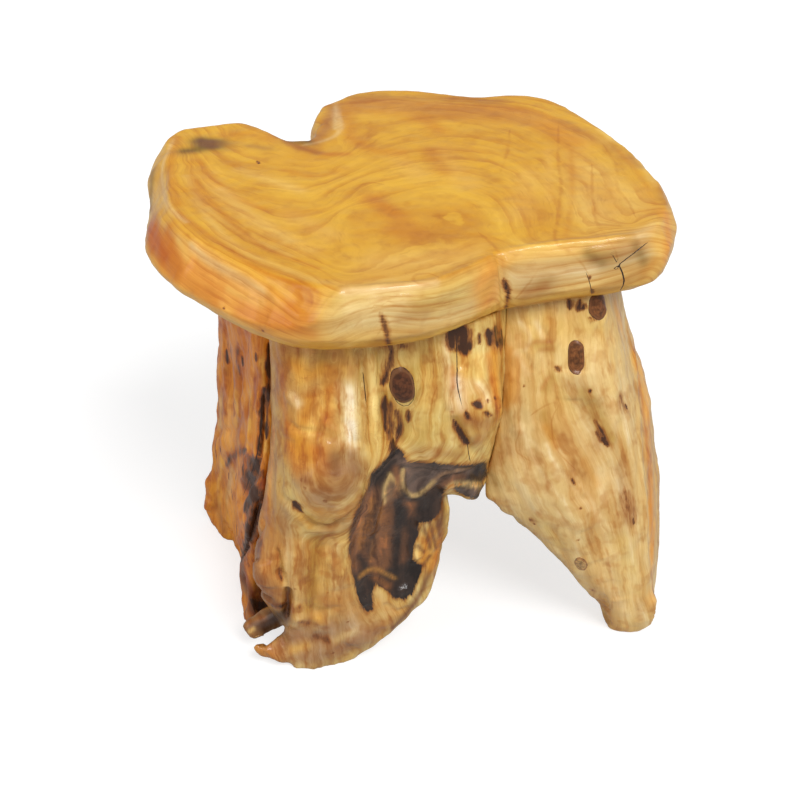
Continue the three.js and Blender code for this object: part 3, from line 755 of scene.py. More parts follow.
# The knob and what lies under it: grey-brown, then tan and olive down the foot.
foot_tints = [
    ("tan", 0.7, 18, [(305, 480), (318, 505), (345, 512)]),
    ("ash", 0.85, 15, [(322, 494), (345, 490)], [(352, 470), (338, 466)]),
    ("umber", 0.5, 6, [(334, 456), (336, 474)], [(352, 456), (356, 468)]),
    ("sand", 0.55, 7, [(300, 492), (308, 506)], [(326, 512), (348, 506)]),
    ("rose", 0.45, 6, [(312, 500), (330, 506)], [(296, 484), (306, 478)]),
    ("ash", 0.6, 12, [(285, 510), (290, 545)], [(350, 520), (320, 535)]),
    ("tan", 0.8, 22, [(290, 560), (300, 600), (300, 640)], [(335, 560), (340, 600)]),
    ("clay", 0.5, 12, [(268, 520), (272, 545)]),
    ("olive", 0.75, 7, [(318, 538), (313, 570), (312, 605)]),
    ("sand", 0.75, 9, [(335, 545), (338, 590)], [(292, 560), (294, 600)]),
    ("straw", 0.6, 5, [(328, 560), (326, 590)], [(346, 552), (344, 575)]),
    ("bark", 0.45, 5, [(344, 590), (352, 600)], [(322, 598), (330, 606)], [(304, 545), (302, 570)]),
    ("clay", 0.5, 14, [(330, 600), (350, 610)]),
    ("rose", 0.85, 14, [(257, 545), (259, 580)], [(268, 592)]),
    ("peach", 0.3, 7, [(262, 545), (264, 570)]),
    # Partly painted shade: dark umber in the cave under the lobe, over dark wood.
    ("umber", 0.85, 7, [(262, 594), (276, 604)], [(288, 590), (286, 620)]),
    ("ash", 0.85, 20, [(290, 640), (345, 628)], [(320, 655), (370, 635)]),
    ("rose", 0.5, 13, [(278, 655), (310, 660)], [(345, 645), (372, 632)]),
    ("bark", 0.55, 8, [(296, 632), (302, 650)], [(330, 640), (340, 652)], [(316, 616), (330, 624)]),
    ("clay", 0.6, 14, [(385, 625), (400, 612)], [(365, 612), (380, 604)]),
    ("sand", 0.6, 6, [(372, 622), (392, 608)], [(352, 632), (338, 640)], [(292, 626), (298, 618)]),
    ("gold", 0.45, 6, [(292, 650), (306, 645)], [(318, 618)]),
    # Painted shade: a thin dark line along the foot's lower right edge, where it turns under.
    ("umber", 0.9, 5, [(429, 572), (421, 592), (407, 613), (394, 627)]),
    # The dead twig: dark brown wood, with soot-dark painted shade on its right part in the cave.
    ("umber", 1.0, 13, [(276, 618), (262, 624), (250, 628)]),
    ("soot", 0.85, 11, [(284, 612), (274, 620), (266, 628)]),
    ("bark", 0.8, 3, [(250, 614), (247, 624)], [(256, 619), (264, 617)]),
    ("sand", 0.9, 2.4, [(247, 634), (253, 629)]),
    ("clay", 0.7, 9, [(258, 648), (268, 662)]),
]
trunk.tint(foot_tints)

# The panel's straw yellow, the white spot, which is a painted highlight, and the orange round the burl.
panel_tints = [
    ("butter", 0.55, 9, [(372, 355), (374, 400), (376, 440)]),
    ("cream", 0.65, 4, [(446, 340), (447, 370), (449, 400), (453, 412)]),
    ("olive", 0.65, 6, [(386, 395), (388, 425)], [(402, 412), (404, 436)], [(412, 372), (413, 398)]),
    ("olive", 0.4, 8, [(425, 350), (420, 370)], [(432, 425), (420, 440)]),
    ("gold", 0.4, 9, [(433, 370), (428, 400)]),
    # Painted highlight: the white spot above and left of the burl, in cream and ivory.
    ("cream", 0.95, 6, [(464, 382), (462, 400)], [(478, 386), (486, 398)]),
    ("ivory", 0.9, 5, [(457, 380), (459, 396), (462, 408)]),
    ("butter", 0.7, 6, [(464, 356), (466, 374)], [(478, 358), (480, 374)]),
    ("amber", 0.85, 7, [(494, 352), (496, 385), (500, 415)]),
    ("orange", 0.6, 4, [(488, 356), (494, 392), (498, 410)], [(452, 368), (453, 386)]),
    ("clay", 0.75, 10, [(470, 420), (488, 425)], [(480, 440)]),
    ("bark", 0.55, 8, [(440, 452), (455, 455)], [(458, 428), (466, 440)]),
    ("ash", 0.4, 8, [(415, 452), (430, 455)]),
    ("ash", 0.9, 2, [(476, 405), (478, 406)]),
]
trunk.tint(panel_tints)

# The rim of the burnt hollow: amber where the fire only browned the wood.
rim_tints = [
    ("amber", 0.9, 8, [(432, 532), (426, 548), (424, 562)], [(440, 540), (434, 565)]),
    ("umber", 0.85, 2.4, [(423, 524), (428, 538), (430, 548)], [(429, 520), (433, 536), (436, 548)]),
    ("umber", 0.85, 2.4, [(437, 519), (440, 536)], [(418, 546), (424, 552)], [(422, 566), (430, 556)]),
    ("sand", 0.85, 3, [(445, 492), (452, 486), (462, 485), (480, 485)]),
    ("umber", 0.95, 7, [(441, 500), (442, 512), (441, 524)]),
    ("bark", 0.7, 5, [(443, 530), (440, 545)]),
    ("sand", 0.6, 4, [(374, 590), (382, 596), (384, 604)]),
]
trunk.tint(rim_tints)
burnt_tints = [
    ("ember", 0.95, 10, [(370, 496), (358, 530), (356, 562)]),
    ("clay", 0.5, 2.5, [(372, 500), (368, 530)], [(380, 504), (377, 536)], [(362, 522), (360, 548)]),
    ("clay", 0.4, 2, [(374, 540), (371, 562)], [(386, 520), (385, 546)]),
    ("ember", 0.9, 8, [(386, 500), (382, 535), (376, 565)]),
    ("bark", 0.75, 6, [(382, 508), (376, 530)], [(366, 520), (362, 540)]),
    ("ember", 0.7, 5, [(392, 500), (392, 540), (386, 565)]),
    ("ember", 0.65, 4, [(412, 505), (414, 525)], [(404, 530), (402, 560)]),
    ("ember", 0.5, 5, [(430, 490), (445, 482), (460, 476)]),
    ("smoke", 1.0, 10, [(408, 474), (424, 472), (446, 470)], [(412, 486), (428, 480)]),
    ("smoke", 0.75, 5, [(452, 468), (470, 470)], [(400, 460), (410, 464)]),
    ("sand", 0.65, 2.2, [(403, 470), (402, 480), (405, 490), (413, 496), (422, 492), (434, 481)]),
    ("ash", 0.55, 2.2, [(434, 481), (443, 474), (456, 470), (470, 468)]),
    ("ash", 0.5, 5, [(389, 484), (391, 498)]),
    ("sand", 0.65, 2.2, [(390, 475), (386, 484), (384, 492), (385, 503)],
        [(391, 476), (397, 484), (400, 496)]),
    ("ember", 0.8, 4, [(396, 470), (400, 500), (412, 505)]),
    ("soot", 0.9, 6, [(362, 584), (366, 606)], [(394, 588), (410, 588)]),
    ("umber", 0.9, 4, [(376, 577), (388, 586)]),
    ("soot", 0.8, 7, [(436, 490), (424, 506), (410, 530)], [(398, 500), (397, 560)]),
    ("soot", 0.9, 5, [(400, 578), (412, 584)], [(360, 556), (366, 568)]),
    ("tan", 0.45, 2.2, [(360, 577), (368, 570), (377, 569), (386, 574), (395, 578)]),
    ("smoke", 0.8, 8, [(464, 492), (480, 493)]),
    ("sand", 0.65, 2.4, [(448, 489), (453, 485), (463, 484), (481, 485)]),
]
trunk.scorch(burnt_tints)

# Dark stains and some painted shade, drying cracks and amber veins, and the flecks on the back.
trunk_stains_and_shade = [
    (4, 1.1, [(385, 396), (384, 412), (386, 432)], [(397, 410), (399, 426), (396, 444)]),
    (7, 0.6, [(390, 404), (391, 440)]),
    (3, 0.9, [(408, 410), (409, 422)]),
    (6, 1.2, [(393, 440), (394, 456)]),
    (4.2, 1.0, [(386, 338), (391, 352), (388, 370), (382, 384)]),
    (6, 0.6, [(396, 340), (404, 346)]),
    (9, 1.3, [(451, 330), (452, 346)], [(463, 329), (465, 352)]),
    (7, 1.0, [(458, 326), (459, 342)]),
    (5, 1.4, [(488, 330), (490, 345)], [(495, 327), (497, 346)], [(501, 330), (503, 345)]),
    (9, 1.0, [(490, 333), (500, 333)], [(489, 341), (503, 341)]),
    (2.2, 1.0, [(479, 333), (480, 344)]),
    (6, 1.6, [(474, 404), (480, 407)]),
    (3, 1.0, [(466, 412), (470, 420)], [(484, 412), (492, 416)]),
    (2, 1.1, [(488, 401)], [(500, 407)], [(452, 412)], [(495, 398)]),
    (4.2, 1.4, [(454, 420), (460, 433), (468, 443)]),
    (6, 1.2, [(294, 502), (302, 511)]),
    (2.4, 1.1, [(324, 500), (327, 502)]),
    (3.5, 0.8, [(278, 568), (282, 580)], [(288, 592), (286, 618)]),
    (1.7, 1.1, [(295, 589)], [(328, 593)], [(301, 480)], [(333, 653)], [(348, 622)], [(305, 488)]),
    (5, 0.45, [(313, 636), (328, 640)], [(300, 622), (316, 624)], [(296, 612), (300, 606)]),
    (6, 0.5, [(262, 540), (258, 552)]),
    # Partly painted shade: the dark patch in the cave under the lobe.
    (5, 1.2, [(272, 606), (283, 606)]),
]
trunk.mark(trunk_stains_and_shade)
trunk_cracks = [
    (0.55, [(456, 333), (457, 360), (457, 382), (459, 394), (462, 406)]),
    (0.45, [(467, 442), (470, 462)], [(363, 372), (365, 392), (366, 404)]),
    (0.35, oval((403, 387.5), 11.6, 19.0, -10)),
]
trunk.draw("crack", trunk_cracks)
trunk_veins = [
    (0.8, oval((403, 387.5), 13.6, 21.0, -10), [(424, 352), (431, 362), (440, 350)]),
    (0.6, [(418, 370), (424, 388), (418, 404), (412, 420), (416, 436)]),
    (0.6, [(438, 385), (432, 405), (440, 425)], [(316, 520), (330, 516), (344, 520)]),
    (0.8, [(290, 536), (291, 580), (291, 640)], [(316, 540), (314, 575), (313, 606)]),
]
trunk.draw("vein", trunk_veins)
trunk_back = (0.3, 1, 0)
trunk.fleck(50, seed=5, lengths=(4, 18), half_width=1.2, strength=1.0, side=trunk_back)
trunk.fleck(16, seed=6, lengths=(20, 60), half_width=3.0, strength=0.9, side=trunk_back)

# The growth rings, counted outwards across the pillar and the panel, then down the foot.
trunk_rings = [
    (-80, [(283, 350), (282, 400), (280, 450), (276, 490), (268, 520)]),
    (-65, [(300, 352), (300, 400), (297, 450), (300, 490), (318, 515), (345, 512), (362, 490)]),
    (-50, [(316, 352), (318, 400), (314, 440), (312, 480), (330, 498), (350, 490), (356, 470)]),
    (-35, [(335, 352), (334, 400), (334, 440), (334, 470)]),
    (-52, [(352, 352), (352, 400), (354, 440), (358, 470)]),
    (-62, [(362, 350), (363, 400), (364, 440), (367, 470), (362, 510), (335, 530), (300, 520)]),
    (-48, [(372, 352), (373, 400), (374, 440)]),
    (-36, [(384, 345), (384, 380), (388, 410), (390, 440)]),
    (-20, [(400, 345), (398, 365)]),
    (-20, [(402, 410), (402, 440)]),
    (-10, [(414, 345), (417, 370), (417, 395), (412, 415), (412, 440)]),
    (5, [(430, 340), (434, 380), (430, 420), (432, 450)]),
    (20, [(447, 338), (449, 380), (449, 410), (452, 450)]),
    (33, [(462, 335), (463, 380), (461, 395), (463, 415), (470, 440)]),
    (46, [(478, 332), (477, 370), (486, 392), (492, 415), (486, 440)]),
    (60, [(495, 328), (496, 370), (500, 410)]),
    (-95, [(262, 530), (257, 560), (262, 590)]),
    (-80, [(278, 530), (276, 560), (278, 600)]),
    (-62, [(296, 530), (297, 570), (296, 620), (300, 655)]),
    (-45, [(318, 545), (320, 590), (318, 640)]),
    (-25, [(340, 545), (340, 600), (345, 645)]),
    (-5, [(372, 480), (362, 520), (360, 560), (366, 600), (385, 630)]),
    (12, [(392, 470), (385, 510), (382, 550), (390, 585)]),
    (30, [(418, 500), (410, 530), (404, 570), (405, 605)]),
    (48, [(440, 500), (430, 540), (422, 580)]),
]
trunk.lay_grain(np.array([0.9, 0.55, 0.06]), trunk_rings)
trunk_lacquer = lacquered_wood(
    "trunk_lacquer", ring_spacing=9, rings=0.3, swirl=10,
    streaks=1.2, blotches=1.0, scribbles=0.22, unevenness=2.6,
)
trunk.finish("trunk_wood", trunk_lacquer, "trunk")

# The left root: a wall of root that keeps the orange-brown wood from under the bark. It is
# scribed and glued to the trunk along a deep open seam, with rot pockets cut out along it.

left = Carving(
    "left_root_wall", ["left_root"], face_size=1.8 * mm, relaxing=5, base_tint="copper",
)
left_shifts = [
    (16, (5, 0), [(216, 375), (214, 425)]),
    (11, (-7, 0), [(213, 484), (212, 506)]),
    (9, (-3, 3), [(222, 530), (236, 548)]),
    (9, (8, 0), [(243, 583), (243, 600)]),
]
left.push(left_shifts)
left.write()
left_cuts = [
    (4.5, -7, [(263, 392), (262, 422), (259, 455), (253, 473), (243, 496), (239, 508)]),
    (4, -6, [(261, 502), (255, 522), (249, 541), (239, 559)]),
    (6, 3, [(252, 395), (250, 440), (242, 478)]),
    (8, 2.5, [(228, 350), (226, 420), (220, 480)]),
    (4, -3, [(239, 345), (239, 400), (234, 440)]),
    (4, 3, [(247, 500), (243, 530), (236, 550)]),
    (5, 4, [(212, 500), (208, 508)]),
    (5, -3, [(214, 430), (222, 436)]),
    (3, -2.5, [(222, 350), (226, 368)], [(240, 350), (242, 368)], [(224, 520), (236, 540)]),
]
left.carve(left_cuts)
left.ripple(size=16, rise=2.6, seed=8.2, stretch=2.4)
left.ripple(size=7, rise=1.4, seed=4.2, stretch=2.2)
left.write()
left_tints = [
    ("peach", 0.5, 11, [(228, 400), (228, 440)], [(218, 390), (218, 430)]),
    ("orange", 0.6, 6, [(228, 345), (228, 375)], [(246, 345), (244, 372)]),
    ("gold", 0.5, 6, [(236, 392), (238, 440)], [(222, 460), (218, 500)]),
    ("umber", 0.3, 4, [(237, 350), (238, 376)], [(224, 356), (226, 372)]),
    ("sand", 0.5, 6, [(222, 395), (220, 425)], [(232, 470), (226, 500)]),
    ("gold", 0.7, 4, [(262, 360), (264, 385)], [(250, 392), (250, 430)], [(268, 400), (266, 450)]),
    ("amber", 0.6, 7, [(216, 455), (212, 500)], [(226, 505), (230, 540)]),
    ("orange", 0.8, 5, [(244, 500), (240, 530), (236, 555)], [(250, 470), (246, 500)]),
    ("bark", 0.6, 8, [(218, 505), (224, 530)], [(240, 560), (246, 590)]),
    # Partly painted shade: umber at the root's foot, in the cave under the lobe.
    ("umber", 0.8, 14, [(244, 580), (252, 600), (262, 620)]),
    ("bark", 0.4, 8, [(226, 464), (244, 450)]),
    ("orange", 0.7, 4, [(268, 470), (264, 500)], [(240, 470), (234, 500)], [(246, 512), (240, 535)]),
]
left.tint(left_tints)
left_stains_and_shade = [
    (4.5, 1.2, [(264, 388), (262, 422), (259, 455)]),
    (20, 1.2, [(257, 462), (253, 480), (250, 500)]),
    (12, 1.1, [(250, 490), (244, 510)]),
    (12, 1.25, [(260, 505), (254, 524), (247, 541)]),
    (8, 1.1, [(248, 538), (242, 560)]),
    (12, 0.5, [(252, 525), (246, 552), (242, 575)]),
    (2.4, 1.0, [(242, 356), (243, 366)], [(256, 353), (256, 361)], [(227, 350), (228, 364)]),
    (3, 0.5, [(238, 344), (237, 362), (240, 374)], [(263, 470), (260, 490)]),
    (5, 0.7, [(226, 466), (233, 456), (246, 449)]),
    (3.2, 1.3, [(269, 343), (268, 361), (269, 377), (268, 392), (267, 414), (266, 439)]),
    # Partly painted shade: the near-black in the cave under the lobe.
    (10, 1.3, [(252, 600), (268, 612)], [(262, 622)]),
]
left.mark(left_stains_and_shade)
left_cracks = [
    (0.9, [(272, 344), (273, 361), (276, 377), (278, 392), (277, 414), (276, 439)]),
    (0.5, [(262, 395), (261, 425), (257, 455), (250, 478), (243, 496)]),
]
left.draw("crack", left_cracks)
left_outside = (-0.7, 0.7, 0)
left.fleck(60, seed=9, lengths=(5, 26), half_width=1.2, strength=0.9, side=left_outside)
left.fleck(12, seed=10, lengths=(30, 90), half_width=3.5, strength=0.8, side=left_outside)
left_rings = [
    (0, [(224, 345), (222, 400), (214, 470), (212, 510)]),
    (14, [(238, 345), (236, 400), (229, 470), (226, 520)]),
    (28, [(250, 345), (249, 400), (242, 470), (237, 530)]),
    (42, [(262, 345), (260, 400), (255, 470), (248, 530)]),
]
left.lay_grain(np.array([0.8, 0.7, 0.1]), left_rings)
left_lacquer = lacquered_wood(
    "bark_side_lacquer", ring_spacing=8, rings=0.3, swirl=9,
    streaks=1.2, blotches=1.0, scribbles=0.25, unevenness=2.2,
)
left.finish("bark_side_wood", left_lacquer, "left_root")

# The right root: the broad pale wedge that sweeps down to a small flat foot. It is scribed,
# glued and dowelled to the trunk along a fine seam, and three knots are let into it.

right = Carving(
    "right_root_wedge", ["right_root", "side_knot", "upper_knot", "foot_knot"],
    face_size=1.8 * mm, relaxing=6, base_tint="sand",
)
right_shifts = [
    (12, (-8, 1), [(500, 497), (520, 522)]),
    (8, (-3, 5), [(492, 490)]),
    (8, (7, 0), [(597, 596), (605, 618)]),
    (9, (7, 0), [(650, 603), (644, 625)]),
    (16, (4, 0), [(638, 362), (646, 398)]),
]
right.push(right_shifts)
right.write()
right_cuts = [
    (4, 2.4, [(622, 300), (632, 350), (637, 400), (640, 450), (645, 520), (648, 580)]),
    (12, -3, [(592, 400), (602, 440), (615, 480)]),
    (13, 3, [(535, 420), (556, 470), (586, 530)]),
    (6, 2.5, [(512, 335), (512, 400), (520, 440)]),
    (10, -2.5, [(600, 560), (620, 600)]),
    (12, 3, [(575, 370), (572, 400)]),
    (5, -2.5, [(618, 420), (622, 450), (628, 490)]),
    (3, 2, [(586, 408), (598, 440), (604, 460)], [(548, 440), (566, 470), (584, 496)]),
    (2.5, -1.4, [(528, 322), (534, 338), (528, 352)], [(540, 326), (550, 342)],
        [(522, 350), (534, 372)]),
]
right.carve(right_cuts)
right.ripple(size=26, rise=2.4, seed=5.5, stretch=1.8)
right.ripple(size=11, rise=1.2, seed=2.9, stretch=2.0)
right.ripple(size=5, rise=0.4, seed=7.7, stretch=2.0)
right.write()
right_tints = [
    ("straw", 0.8, 24, [(520, 325), (550, 350), (560, 395)], [(590, 330), (600, 350)]),
    ("butter", 0.5, 24, [(525, 335), (560, 345), (595, 350)]),
    ("cream", 0.35, 24, [(530, 345), (560, 360), (590, 375)]),
    ("butter", 0.5, 8, [(528, 326), (536, 345)], [(548, 318), (560, 330)], [(612, 345), (612, 385)]),
    # Painted highlight: thin cream glints of the lamps on the lacquer along the shallow gouges near the
    # top.
    ("cream", 0.7, 2.4, [(520, 322), (530, 336), (526, 350)], [(536, 322), (544, 338)],
        [(516, 352), (528, 374)]),
    ("cream", 0.35, 12, [(606, 350), (610, 385)], [(590, 345), (594, 368)]),
    ("gold", 0.8, 8, [(634, 345), (643, 400), (650, 470), (654, 560)]),
    ("orange", 0.6, 3.5, [(634, 345), (642, 400), (649, 470), (652, 560)]),
    ("peach", 0.55, 8, [(616, 305), (622, 325)]),
    ("peach", 0.5, 8, [(638, 350), (648, 410), (652, 500), (653, 600)]),
    ("amber", 0.55, 5, [(510, 350), (510, 380), (506, 405)], [(518, 360), (514, 400)]),
    ("olive", 0.6, 6, [(544, 415), (552, 436)], [(538, 345), (552, 348)], [(552, 378), (546, 388)]),
    ("amber", 0.45, 5, [(546, 428), (556, 446)], [(584, 462), (598, 484)]),
    ("tan", 0.3, 22, [(556, 420), (575, 455)], [(590, 460), (600, 500)]),
    ("ash", 0.4, 10, [(576, 384), (590, 408), (604, 440)], [(620, 470), (630, 515)]),
    ("olive", 0.4, 5, [(590, 392), (604, 420), (612, 440)], [(620, 396), (628, 412)]),
    ("tan", 0.2, 16, [(600, 575), (625, 605)], [(510, 455), (530, 470)]),
    ("cream", 0.45, 4, [(612, 400), (616, 430)], [(600, 470), (606, 500)], [(624, 380), (630, 440)]),
    ("cream", 0.5, 2.2, [(520, 425), (540, 470), (566, 505)], [(545, 445), (568, 480), (590, 510)]),
    ("cream", 0.5, 2.2, [(560, 450), (584, 490), (610, 530)], [(590, 500), (616, 560)],
        [(530, 440), (552, 460)]),
    ("straw", 0.5, 7, [(540, 520), (560, 545)], [(620, 540), (630, 570)]),
    ("ash", 0.4, 5, [(603, 603), (608, 622)], [(640, 600), (642, 622)]),
    ("butter", 0.45, 16, [(605, 560), (625, 590), (632, 625)]),
    ("clay", 0.3, 4, [(606, 606), (614, 628)], [(636, 596), (640, 620)]),
    ("bark", 0.3, 6, [(506, 440), (512, 452)], [(616, 596), (620, 606)]),
    ("olive", 0.5, 6, [(582, 392), (590, 408), (600, 428), (610, 438)]),
    ("clay", 0.6, 2.6, [(534, 342), (552, 342)], [(540, 350), (553, 349)], [(542, 388), (548, 378)]),
    ("cream", 0.45, 13, [(606, 560), (614, 590), (626, 614)]),
]
right.tint(right_tints)
right_stains = [
    (2.4, 0.7, [(594, 420), (602, 432), (608, 446)], [(596, 432), (602, 442)]),
    (5, 0.3, [(620, 396), (626, 412)], [(624, 492), (634, 522)]),
    (1.8, 1.2, [(590, 391)], [(625, 404), (627, 408)], [(571, 478), (575, 485)],
        [(633, 518), (634, 524)]),
    (1.5, 1.1, [(581, 508)], [(578, 540)], [(602, 438), (605, 444)], [(534, 524)], [(524, 386)]),
    (3.6, 1.1, [(569, 300), (570, 309)]),
    (3.0, 0.9, [(580, 300), (578, 311)], [(585, 304), (583, 309)]),
    (2.4, 0.6, [(556, 367), (560, 371)]),
    (3.4, 0.8, [(531, 520)]),
    (3, 0.7, [(592, 590)], [(590, 318), (596, 320)]),
]
right.mark(right_stains)
right_veins = [
    (0.6, [(530, 416), (546, 405), (560, 402)], [(520, 430), (516, 450), (532, 462)]),
    (0.5, [(562, 402), (552, 420), (556, 448), (576, 470)], [(584, 380), (600, 420), (622, 470)]),
    (0.7, oval((577, 357), 9.0, 17.0)),
]
right.draw("vein", right_veins)
right_back = (0.4, 1, 0)
right.fleck(40, seed=15, lengths=(4, 22), half_width=1.2, strength=0.9, side=right_back)
right.fleck(12, seed=16, lengths=(20, 70), half_width=3.5, strength=0.8, side=right_back)
right_rings = [
    (0, [(510, 325), (510, 370), (512, 420), (520, 470), (540, 515)]),
    (14, [(524, 322), (526, 370), (530, 420), (545, 480), (575, 545)]),
    (28, [(538, 320), (543, 370), (550, 420), (572, 480), (598, 560), (612, 620)]),
    (42, [(553, 315), (556, 370), (566, 410), (592, 470), (612, 550), (622, 620)]),
    (56, [(567, 312), (566, 345), (566, 375), (580, 410), (608, 470), (624, 540), (632, 620)]),
    (70, [(584, 310), (588, 350), (590, 390), (612, 440), (628, 500), (638, 600)]),
    (84, [(604, 320), (612, 370), (622, 420), (634, 480), (643, 560)]),
]
right.lay_grain(np.array([0.9, 0.5, 0.1]), right_rings)
right_lacquer = lacquered_wood(
    "pale_root_lacquer", ring_spacing=10, rings=0.25, swirl=9,
    streaks=0.75, blotches=0.8, scribbles=0.08, unevenness=2.0,
)
right.finish("pale_root_wood", right_lacquer, "right_root")

# The back root: the fourth foot, hidden behind the trunk in the photograph. It is shaped and
# finished as the trunk is.

back = Carving(
    "back_root_leg", ["back_root"], face_size=2.4 * mm, relaxing=5, base_tint="straw",
)
back.ripple(size=20, rise=2.2, seed=2.7, stretch=3.0)
back.write()
back.tone += (np.array(wood_tints["clay"]) - back.tone) * 0.4
back_outside = (0, 1, 0)
back.fleck(50, seed=25, lengths=(6, 26), half_width=1.3, strength=1.0, side=back_outside)
back.fleck(12, seed=26, lengths=(30, 90), half_width=3.5, strength=0.9, side=back_outside)
back.lay_grain(np.array([0.9, 0.5, 0.1]))
back.finish("trunk_wood", trunk_lacquer, "back_root")

# The seat: one thick slab with its natural outline, sanded flat on top, its rim rounded
# over on the left and sawn nearly square at the front, pinned to the base by dowels.

seat = Carving(
    "seat_top_slab", ["seat_slab"], face_size=2.2 * mm, relaxing=3, base_tint="honey",
)
seat_cuts = [
    (4, 2.0, [(154, 209), (174, 231), (190, 240), (209, 257), (243, 274), (264, 288), (288, 309),
        (306, 323)]),
    (3.5, 2.2, [(343, 290), (329, 302), (319, 317), (309, 326)]),
    (3.5, 1.6, [(343, 290), (400, 285), (430, 283), (470, 268), (497, 252)]),
    (3.5, 1.6, [(503, 250), (553, 244), (612, 238), (638, 236), (653, 231), (665, 216)]),
    (4, -4.5, [(495, 251), (502, 264), (504, 285), (507, 308)]),
    (16, -3, [(188, 262), (228, 295), (268, 318)]),
    (5, -1.2, [(300, 287), (304, 300), (300, 312)]),
    (8, -1.5, [(150, 235), (160, 255), (176, 275)]),
]
seat.carve(seat_cuts)
seat_edge_shifts = [
    (26, (-9, -1), [(172, 142), (163, 160), (158, 180)]),
    (17, (-11, 0), [(336, 104), (330, 116)]),
    (18, (5, 1), [(652, 182), (662, 205)]),
]
seat.push(seat_edge_shifts, upright=True)
seat_side_shifts = [
    (18, (5, 4), [(655, 262), (645, 272)]),
    (16, (-2, 2), [(150, 242), (176, 280)]),
]
seat.push(seat_side_shifts)
seat.ripple(size=40, rise=0.6, seed=1.4)
seat.ripple(size=11, rise=0.5, seed=4.8)
seat.write()

# The side all round is paler than the top.
edge_share = np.clip(1.1 - 1.2 * np.abs(seat.facings[:, 2]), 0, 0.8)
seat.tone += (np.array(wood_tints["butter"]) - seat.tone) * edge_share[:, None]

# The top: bands that follow the kidney shape, light and dark in turn, and a painted highlight along the
# rounded rim at the left end.
top_tints = [
    ("gold", 0.7, 12, [(205, 175), (235, 208), (275, 235), (310, 250)], [(290, 215), (330, 235)]),
    ("butter", 0.6, 4.5, [(194, 199), (234, 245), (289, 271), (340, 284), (420, 274), (480, 252)]),
    ("butter", 0.5, 4, [(186, 176), (206, 206), (240, 232), (290, 256)]),
    ("amber", 0.85, 3, [(177, 212), (206, 233), (234, 253), (266, 273), (300, 286)]),
    ("amber", 0.7, 3.5, [(196, 180), (213, 203), (238, 228), (269, 250), (317, 268)]),
    ("amber", 0.6, 4, [(200, 160), (212, 178), (236, 197), (270, 212)]),
    ("orange", 0.35, 4, [(190, 160), (194, 185), (206, 205)]),
    # Painted highlight along the rounded rim at the left end.
    ("cream", 0.5, 2.5, [(174, 139), (163, 165), (163, 188), (170, 208), (186, 222)]),
    ("gold", 0.6, 12, [(385, 262), (430, 262), (480, 245)], [(440, 150), (470, 185)]),
    ("gold", 0.7, 15, [(530, 175), (520, 215)], [(590, 190), (600, 215)], [(575, 140), (580, 170)]),
    ("gold", 0.5, 12, [(640, 190), (650, 210)], [(400, 160), (420, 175)]),
    ("amber", 0.8, 13, [(370, 198), (388, 212), (408, 226)], [(395, 230), (415, 236)]),
    ("orange", 0.35, 8, [(376, 200), (398, 214)]),
    ("amber", 0.75, 9, [(345, 112), (352, 138), (375, 150), (400, 152)], [(420, 118), (440, 130)]),
    ("orange", 0.45, 8, [(360, 100), (400, 102), (470, 108), (520, 112)]),
    ("amber", 0.6, 9, [(480, 108), (530, 112), (565, 128)], [(430, 150), (445, 172)]),
    ("orange", 0.6, 5, [(271, 131), (288, 142), (305, 149), (326, 154), (347, 154)]),
    ("bark", 0.5, 5, [(278, 136), (296, 146), (318, 153)]),
    ("bark", 0.45, 6, [(250, 146), (270, 149)], [(350, 97), (386, 96)]),
    ("amber", 0.6, 8, [(225, 134), (250, 134), (272, 140)]),
    ("amber", 0.5, 5, [(312, 176), (330, 174), (345, 168)], [(285, 170), (306, 176)]),
    ("amber", 0.85, 17, [(352, 108), (400, 110), (470, 114), (530, 122), (574, 142)]),
    ("tan", 0.55, 15, [(356, 106), (400, 107), (470, 111), (530, 118)]),
    ("copper", 0.22, 13, [(352, 104), (400, 105), (470, 109), (530, 117), (574, 137)]),
    ("clay", 0.45, 9, [(360, 100), (420, 98), (500, 102)], [(560, 122), (600, 140), (632, 162)]),
    ("butter", 0.55, 26, [(585, 180), (600, 215)], [(385, 265), (440, 258)]),
    ("butter", 0.5, 7, [(220, 190), (250, 215), (290, 240)], [(240, 170), (300, 190)]),
    ("amber", 0.7, 5, [(178, 138), (172, 160), (171, 185), (178, 204)]),
    ("moss", 0.95, 10, [(201, 141), (216, 143)], [(203, 147), (215, 146)]),
    ("umber", 0.9, 7, [(201, 141), (212, 142)], [(204, 145), (212, 146)]),
    ("bark", 0.4, 9, [(222, 144), (230, 146)], [(178, 152), (186, 153)]),
    ("moss", 0.8, 6, [(184, 151), (196, 150)]),
    ("clay", 0.5, 6, [(630, 156), (640, 166)], [(662, 190), (665, 202)]),
    ("butter", 0.5, 4, [(600, 130), (632, 152), (655, 185)]),
    ("amber", 0.5, 3, [(618, 150), (640, 176), (655, 204)], [(571, 150), (572, 200), (566, 235)]),
    ("gold", 0.6, 5, [(548, 150), (549, 200)], [(610, 180), (614, 215)]),
]
seat.tint(top_tints)
